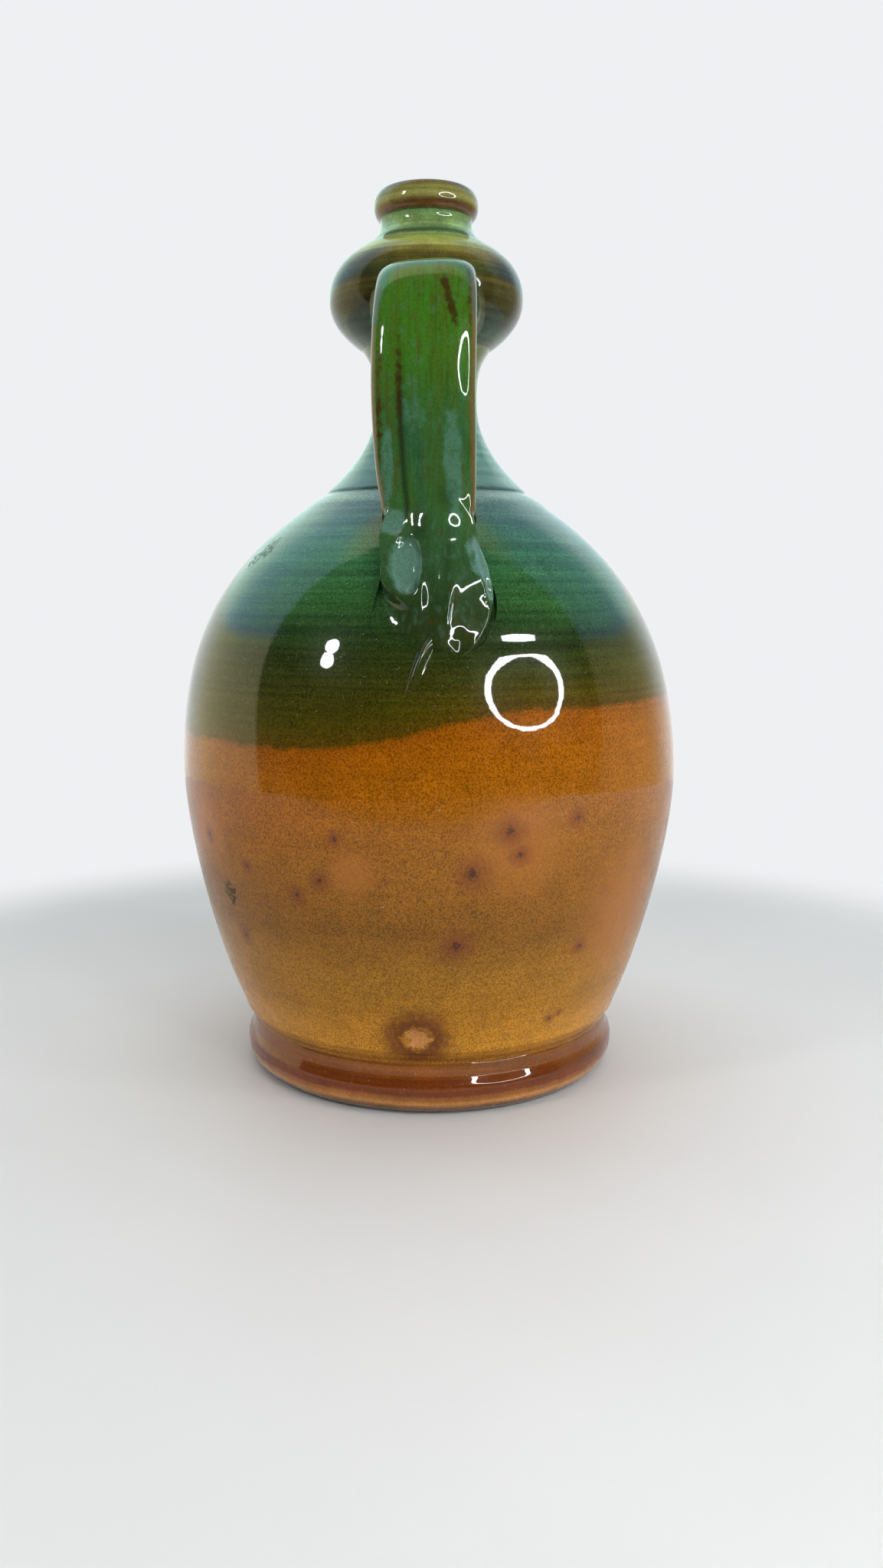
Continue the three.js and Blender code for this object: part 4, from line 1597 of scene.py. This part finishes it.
    def rims(self, wide: Array, height: Array) -> Array:
        """Where the glaze breaks to brown: a band along each edge of the strap, in a wider thin wash.

        Args:
            wide: Place across the strap, from -1 to 1.
            height: Height of the point's station.

        Returns:
            The brown's strength.
        """
        bands = sum(bell(wide, middle, width) for middle, width in self.rim_bands)
        wash = self.rim_wash * smooth_step(*self.rim_wash_from, np.abs(wide))
        return np.maximum(bands, wash) * smooth_step(*self.rim_above, height)

    def crease(self, wide: Array, height: Array) -> Array:
        """The crease down the left of the strap, between two heights."""
        line = bell(wide, self.crease_at, self.crease_width)
        return line * smooth_step(*self.crease_top, height) * smooth_step(*self.crease_bottom, height)

    def stained(self, x: Array, z: Array) -> Array:
        """Brown runs: straight ones, and near the crown a bell across the line from its top to its foot.

        Args:
            x: Places across.
            z: Heights.

        Returns:
            The stain's strength.
        """
        (top_x, top_z), (foot_x, foot_z) = self.stain
        start, stop = self.stain_fades
        along = np.clip((top_z - z) / (top_z - foot_z), start[0], stop[0])
        across = bell(x, top_x + along * (foot_x - top_x), self.stain_width)
        short = across * smooth_step(*start, along) * smooth_step(*stop, along)
        return short + sum(run.swelling(x, z) for run in self.brown_runs)

    def pools_and_reflections(self, x: Array, z: Array) -> Array:
        """Where the glaze is painted pale: thick glaze and a painted reflection of the bright surround, in
        the thumb hollows and in runs on the lower strap.

        Args:
            x: Places across.
            z: Heights.

        Returns:
            The strength of the pale patches, partly painted reflection.
        """
        runs = sum(run.hollow(x, z) for run in self.pool_reflection_runs)
        thumbed = sum(press.hollow(x, z) / press.by for press in self.hollows)
        return np.minimum(runs + self.fullest_pool_reflection * thumbed, self.fullest_pool_reflection)

    def bulge(self, x: Array, z: Array) -> Array:
        """The knuckle above the thumb press, h e ln(1 + exp((1 - reach²) / e)): a dome with a soft edge."""
        inwards = 1.0 - self.knuckle.reach(x, z) ** 2
        return self.knuckle.by * self.knuckle_edge * np.logaddexp(0.0, inwards / self.knuckle_edge)

    def relief(self, wide: Array, height: Array) -> Array:
        """What the fingers leave on the free strap: a dome above, a dish below, and a crease.

        Args:
            wide: Place across the strap, from -1 to 1.
            height: Height of the point's station.

        Returns:
            The distance outwards.
        """
        dished = smooth_step(*self.dish_from, height)
        shape = between((self.dome, -self.dish), dished) * (1.0 - wide**2)
        return shape - self.crease_depth * self.crease(wide, height)

    def rise(self, x: Array, z: Array, left: Array, right: Array) -> Array:
        """How far the strap's foot stands out of the shoulder.

        The rise along its crest, falling away to the right, with the thumb's swellings and hollows, times an
        ease from each edge, less a little that sinks the edges.

        Args:
            x: Places across.
            z: Heights.
            left: Left edge of each row.
            right: Right edge of each row.

        Returns:
            The distance out of the shoulder.
        """
        heights, proud = np.array(self.heel).T
        at = np.clip(z, heights[0], heights[-1])
        ridge = smooth_through(heights, proud[:, None], at.ravel()).reshape(z.shape)
        low = smooth_step(*self.heel_spread, z)
        beyond = np.clip((x - self.heel_crest) / (right - self.heel_crest), 0.0, 1.0)
        fallen = between(self.right_fall, low) * beyond**self.right_fall_power
        ease = smooth_step(0.0, 1.0, (x - left) / between(self.left_slope, low)) ** 2
        ease = ease * smooth_step(0.0, 1.0, (right - x) / self.right_slope)
        marks = sum(press.swelling(x, z) for press in self.swellings) + self.bulge(x, z)
        marks = marks - sum(press.hollow(x, z) for press in self.hollows)
        sink = np.where(x < 0.0, *self.heel_sink)
        return (ridge * (1.0 - fallen) + marks) * ease - sink * (1.0 - ease)

    def strap(self) -> bpy.types.Object:
        """Carries the section along the middle line, from inside the bulb to under the shoulder's skin.

        Each point is middle + x across + outward (half thickness times deep + relief), outward being the
        line's direction crossed with +X. Over the shoulder it gives way to the wall's skin plus the rise.

        Returns:
            The strap and its thumbed end, as one object.
        """
        knots = np.array(self.stations)
        steps = np.linalg.norm(np.diff(knots[:, :2], axis=0), axis=1)
        length = np.concatenate([[0.0], np.cumsum(steps)])
        line = smooth_through(length, knots, np.linspace(0.0, length[-1], self.rows))
        reach, height, left, right, thickness = (column[:, None] for column in line.T)
        run = np.gradient(line[:, :2], axis=0)
        run = run / np.linalg.norm(run, axis=1, keepdims=True)
        wide, deep = (column[None, :] for column in self.section().T)
        x = (left + right) / 2.0 + wide * (right - left) / 2.0
        outer = smooth_step(*self.outer_face, deep)
        out = deep * thickness / 2.0 + outer * (self.relief(wide, height) + self.bulge(x, height))
        z = height + run[:, :1] * out + self.crown_tilt * x * smooth_step(*self.crown_from, height)
        free = np.stack([x, -(reach - run[:, 1:] * out), z], axis=-1)
        rise = self.rise(x, z, left, right)
        share = smooth_step(*self.heel_from, height) * smooth_step(*self.heel_face, deep)
        foot = self.hand.front(self.body, x, z, rise)
        made = clay_object("handle_strap_pulled", *skin(free + (foot - free) * share[..., None], Ends.CAPPED))
        shade = sum(press.swelling(x, z) for press in self.shades)
        paint(made, "rim", self.rims(wide, height) * smooth_step(*self.rim_face, deep))
        paint(made, "crease", np.maximum(self.crease(wide, height), shade) * outer)
        # Painted reflection, partly thick glaze: the pale patches in the hollows and runs.
        paint(made, "pool_reflection", self.pools_and_reflections(x, z) * outer)
        paint(made, "stain", self.stained(x, z) * outer)
        paint(made, "merge", smooth_step(*self.merge, rise) * share)
        return made

    def root(self) -> bpy.types.Object:
        """The root: a collar of clay round the strap that falls away over the bulb as h exp(-d / f).

        Rows run outwards from under the strap, over the collar, and back under the bulb's skin; columns run
        round the strap.

        Returns:
            The root, as one object.
        """
        angle = turns(self.root_grid[1])
        out = np.linspace(-1.0, 1.0, self.root_grid[0])[:, None]
        low = smooth_step(*self.root_flare_below, np.sin(angle))
        away = np.maximum(out, 0.0) * between(self.root_flare, low)
        grown = np.minimum(out, 0.0) * self.root_inset + away
        x = self.root_at[0] + squared(np.cos(angle), self.root_squareness[0]) * (self.root_half[0] + grown)
        z = self.root_at[1] + squared(np.sin(angle), self.root_squareness[1]) * (self.root_half[1] + grown)
        proud = self.root_height * np.exp(-away / self.root_fall) - self.root_bed
        top = self.hand.front(self.bulb, x, z, proud)
        under = self.hand.front(self.bulb, x, z, np.full_like(x, -self.root_sink))[::-1]
        return clay_object("handle_root_flared", *skin(np.concatenate([top, under]), Ends.JOINED))

    def tail(self) -> bpy.types.Object:
        """The tail: a ridge wiped down the shoulder on a bowed line, h exp(-(v / w)²), w narrow on its left.

        Returns:
            The tail, as one object.
        """
        share = np.linspace(0.0, 1.0, self.tail_grid[0])[:, None]
        across = np.linspace(-1.0, 1.0, self.tail_grid[1])[None, :]
        aside = across * between(self.tail_half, share)
        bow = self.tail_bow * np.sin(np.pi * share)
        x = between((self.tail_top[0], self.tail_foot[0]), share) + bow + aside
        z = between((self.tail_top[1], self.tail_foot[1]), share) + self.tail_twist * aside
        off = across - self.tail_crest
        ridge = np.exp(-((off / np.where(off < 0.0, *self.tail_sides)) ** 2))
        fade = smooth_step(*self.tail_fades[0], share) * smooth_step(*self.tail_fades[1], share)
        proud = between(self.tail_height, share) * fade * ridge - self.tail_bed
        top = self.hand.front(self.body, x, z, proud)
        under = self.hand.front(self.body, x, z, np.full_like(x, -self.tail_sink))[:, ::-1]
        made = clay_object("handle_tail_wiped", *skin(np.concatenate([top, under], axis=1), Ends.CAPPED))
        hidden = np.zeros_like(proud)
        rim = self.tail_rim * smooth_step(*self.tail_rim_above, proud)
        paint(made, "rim", np.concatenate([rim, hidden], axis=1))
        paint(made, "merge", np.concatenate([smooth_step(*self.tail_merge, proud), hidden], axis=1))
        return made

    def build(self) -> list[Piece]:
        """Builds strap and tail with the streaked green glaze, and the root with a glaze like the bulb's.

        Returns:
            The strap, the root and the tail.
        """
        return [
            Piece(self.strap(), "handle_glaze", ("handle_strap", "handle_terminal"), self.glaze),
            Piece(self.root(), "handle_glaze", ("handle_root",), self.root_glaze),
            Piece(self.tail(), "handle_glaze", ("handle_tail",), self.glaze),
        ]


# Studio


@dataclass(frozen=True)
class Lamp:
    """A flat round lamp: its middle, the point it faces, its radii and its brightness."""

    name: str
    middle: Triple
    faces: Triple
    inner: float
    outer: float
    strength: float
    colour: Triple = (0.93, 0.97, 1.0)
    sparkle: float = 0.7
    rows: int = 3
    columns: int = 64

    def build(self) -> None:
        """Hangs a flat ring, middle + r (cos a u + sin a v) with u and v square to its facing, unseen."""
        facing = (Vector(self.faces) - Vector(self.middle)).normalized()
        side = np.array(facing.orthogonal().normalized())
        up = np.cross(np.array(facing), side)
        angle = turns(self.columns)[..., None]
        radius = np.linspace(self.inner, self.outer, self.rows)[:, None, None]
        grid = np.array(self.middle) + radius * (np.cos(angle) * side + np.sin(angle) * up)
        index = np.arange(self.rows * self.columns).reshape(self.rows, self.columns)
        beside = np.roll(index, -1, axis=1)
        quads = np.stack([index[:-1], beside[:-1], beside[1:], index[1:]], axis=-1)
        made = clay_object(self.name, grid.reshape(-1, 3), quads.reshape(-1, 4).tolist())
        made.visible_camera = False
        made.data.materials.append(self.material())

    def material(self) -> bpy.types.Material:
        """A glow that is brighter where the glaze mirrors it.

        Returns:
            The material.
        """
        sheet = NodeSheet.of_material(self.name)
        extra = sheet.times(sheet.rays("Glossy"), self.sparkle * self.strength)
        feeds = {"Color": self.colour, "Strength": sheet.sum(self.strength, extra)}
        glow = sheet.node("ShaderNodeEmission", feeds)
        sheet.node("ShaderNodeOutputMaterial", {"Surface": glow.outputs[0]})
        return sheet.owner


@dataclass(frozen=True)
class SoftLamp:
    """A wide soft lamp that faces the jug and isn't mirrored in its glaze."""

    middle: Triple
    width: float
    watts: float
    faces: Triple = (0.0, 0.0, 130.0)

    def build(self) -> None:
        """Hangs the lamp."""
        data = bpy.data.lights.new("soft_lamp", "AREA")
        data.shape = "DISK"
        data.size = self.width * MM
        data.energy = self.watts
        lamp = bpy.data.objects.new("soft_lamp", data)
        lamp.location = Vector(self.middle) * MM
        lamp.rotation_euler = (Vector(self.faces) - Vector(self.middle)).to_track_quat("-Z", "Y").to_euler()
        lamp.visible_camera = False
        lamp.visible_glossy = False
        bpy.context.scene.collection.objects.link(lamp)


@dataclass
class Studio:
    """A pale floor that fades into a white surround, dimmer in front, with soft, ring and pair lamps."""

    floor_radius: float = 640.0
    floor_level: float = -0.05
    floor_depth: float = 4.0
    floor_middle: float = 2.0
    floor_roughness: float = 0.6
    floor_grid: tuple[int, int] = (40, 96)
    floor_colour: Triple = (0.82, 0.82, 0.81)
    fade: Pair = (240.0, 340.0)
    front_edge: Pair = (-430.0, -270.0)
    front_shade: float = 0.15
    backdrop: Triple = (0.86, 0.87, 0.89)
    white_side: Triple = (0.60, 0.60, 0.61)
    dim_side: Triple = (0.05, 0.05, 0.05)
    dim_way: Triple = (0.0, -0.977, 0.212)
    dim_edge: Pair = (0.09, 0.14)
    left_wall: Triple = (1.25, 1.18, 0.78)
    right_wall: Triple = (0.62, 0.54, 0.30)
    wall_back: Triple = (1.10, 1.14, 1.12)
    wall_edge: Pair = (0.50, 0.90)
    left_window: Triple = (0.66, 1.05, 1.42)
    right_window: Triple = (0.25, 0.42, 0.80)
    left_back: Triple = (1.10, 1.50, 1.40)
    right_back: Triple = (0.90, 1.20, 1.30)
    back_edge: Pair = (0.52, 0.76)
    sides: Pair = (-0.35, 0.35)
    window_slant: float = 0.33
    window_low: Pair = (0.46, 0.53)
    window_high: Pair = (0.93, 0.85)
    lamps: tuple[Union[Lamp, SoftLamp], ...] = (
        SoftLamp((0.0, 0.0, 1500.0), 1400.0, 6.0),
        SoftLamp((350.0, -1250.0, 850.0), 900.0, 5.4),
        SoftLamp((-1150.0, -250.0, 120.0), 700.0, 2.6),
        SoftLamp((1150.0, -250.0, 60.0), 700.0, 1.2),
        Lamp("ring_lamp", (557.0, -557.0, 388.0), (412.0, -412.0, -67.0), 228.0, 266.0, 20.0),
        Lamp("upper_pair_lamp", (-560.0, -480.0, 640.0), (-27.0, -69.0, 140.0), 0.0, 48.0, 24.0),
        Lamp("lower_pair_lamp", (-566.0, -486.0, 541.0), (-27.0, -69.0, 140.0), 0.0, 44.0, 20.0),
    )

    def floor(self) -> None:
        """Lays a round floor under the foot, x = r cos a and y = r sin a, that fades to the backdrop."""
        radius = np.linspace(self.floor_middle, self.floor_radius, self.floor_grid[0])[:, None]
        angle = turns(self.floor_grid[1])
        level = np.full(self.floor_grid, self.floor_level)
        top = np.stack([radius * np.cos(angle), radius * np.sin(angle), level], axis=-1)
        under = top[::-1] - np.array([0.0, 0.0, self.floor_depth])
        made = clay_object("floor", *skin(np.concatenate([top, under]), Ends.CAPPED))
        made.data.materials.append(self.floor_material())

    def floor_material(self) -> bpy.types.Material:
        """Pale matt paint near the jug, darkened towards the front as a painted shadow, and the backdrop's
        white, for seen and mirrored rays, farther out.

        Returns:
            The material.
        """
        sheet = NodeSheet.of_material("floor")
        place = sheet.place()
        depth = sheet.axes(place)[1]
        mirrored = sheet.times(sheet.rays("Glossy"), sheet.grade(depth, (-self.fade[0], 0.0)))
        seen = sheet.sum(sheet.rays("Camera"), sheet.sum(mirrored, sheet.rays("Transmission")))
        reach = sheet.vectors("LENGTH", place).outputs["Value"]
        far = sheet.times(sheet.grade(reach, self.fade), sheet.numbers("MINIMUM", seen, 1.0))
        mottle = sheet.grade(sheet.noise(place, 0.01, 3.0), (0.3, 0.7), 0.97, 1.0)
        # Painted shadow: the paint darkens to front_shade of its colour across front_edge, so the glaze
        # mirrors a dim floor in front.
        near = sheet.grade(depth, self.front_edge, self.front_shade)
        colour = sheet.shade(self.floor_colour, sheet.times(mottle, near))
        feeds = {"Base Color": colour, "Roughness": self.floor_roughness}
        matt = sheet.node("ShaderNodeBsdfPrincipled", feeds)
        glow = sheet.node("ShaderNodeEmission", {"Color": self.backdrop, "Strength": 1.0})
        mixed = sheet.node("ShaderNodeMixShader", {0: far, 1: matt.outputs[0], 2: glow.outputs[0]})
        sheet.node("ShaderNodeOutputMaterial", {"Surface": mixed.outputs[0]})
        return sheet.owner

    def surround(self) -> None:
        """White all round and dim in a cone in front; the glaze mirrors warm walls under a cool window."""
        world = bpy.data.worlds.new("surround")
        sheet = NodeSheet(world)
        way = sheet.node("ShaderNodeTexCoord", {}).outputs["Generated"]
        x, y, z = sheet.axes(way)
        right = sheet.grade(x, self.sides)
        wall = sheet.blend(right, self.left_wall, self.right_wall)
        wall = sheet.blend(sheet.grade(y, self.wall_edge), wall, self.wall_back)
        window = sheet.blend(right, self.left_window, self.right_window)
        behind = sheet.blend(right, self.left_back, self.right_back)
        window = sheet.blend(sheet.grade(y, self.back_edge), window, behind)
        raised = sheet.grade(sheet.sum(z, sheet.times(y, self.window_slant)), self.window_low)
        mirrored = sheet.blend(sheet.times(raised, sheet.grade(z, self.window_high)), wall, window)
        tent = sheet.blend(sheet.rays("Glossy"), self.white_side, mirrored)
        ahead = sheet.vectors("DOT_PRODUCT", way, self.dim_way).outputs["Value"]
        tent = sheet.blend(sheet.grade(ahead, self.dim_edge), tent, self.dim_side)
        seen = sheet.blend(sheet.rays("Camera"), tent, self.backdrop)
        shine = sheet.node("ShaderNodeBackground", {"Color": seen})
        sheet.node("ShaderNodeOutputWorld", {"Surface": shine.outputs[0]})
        bpy.context.scene.world = world

    def build(self) -> None:
        """Lays the floor, hangs the surround and sets up the lamps."""
        self.floor()
        self.surround()
        for lamp in self.lamps:
            lamp.build()
        bpy.context.scene.view_settings.view_transform = "Standard"
        LOG.info("studio: floor, surround and %d lamps", len(self.lamps))


@dataclass(frozen=True)
class PhotoCamera:
    """The camera of the photograph, found from the jug's rings and outline."""

    height: float = 157.8
    away: float = 418.0
    pitch_degrees: float = 8.94
    focal_pixels: float = 1640.0
    picture_height: float = 2048.0
    sensor: float = 36.0
    left_of_middle: float = 16.0
    clip_start: float = 10.0

    def build(self) -> None:
        """Places the camera in front of the handle, pitched down, with the jug left of the middle."""
        data = bpy.data.cameras.new("photo_camera")
        data.sensor_width = self.sensor
        data.lens = self.sensor * self.focal_pixels / self.picture_height
        data.shift_x = self.left_of_middle / self.picture_height
        data.clip_start = self.clip_start * MM
        camera = bpy.data.objects.new("photo_camera", data)
        camera.location = (0.0, -self.away * MM, self.height * MM)
        camera.rotation_euler = (math.radians(90.0 - self.pitch_degrees), 0.0, 0.0)
        bpy.context.scene.collection.objects.link(camera)
        bpy.context.scene.camera = camera


def main() -> None:
    """Loads the frame, builds and dresses the jug bottom to top, then the studio and the camera."""
    logging.basicConfig(level=logging.INFO, format="%(name)s: %(message)s")
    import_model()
    levels = Levels.from_frame()
    hand = PottersHand(shoulder=levels.shoulder, foot_top=levels.foot_top)
    body = Body(levels, hand)
    neck = Neck(levels, hand)
    handle = Handle(body.outline(), neck.bulb_outline(), hand, HandleGlaze("handle_glaze", body.glaze))
    for part in (Base(levels, hand), body, neck, Mouth(levels, hand), handle):
        part.dress()
    Studio().build()
    PhotoCamera().build()


if __name__ == "__main__":
    main()
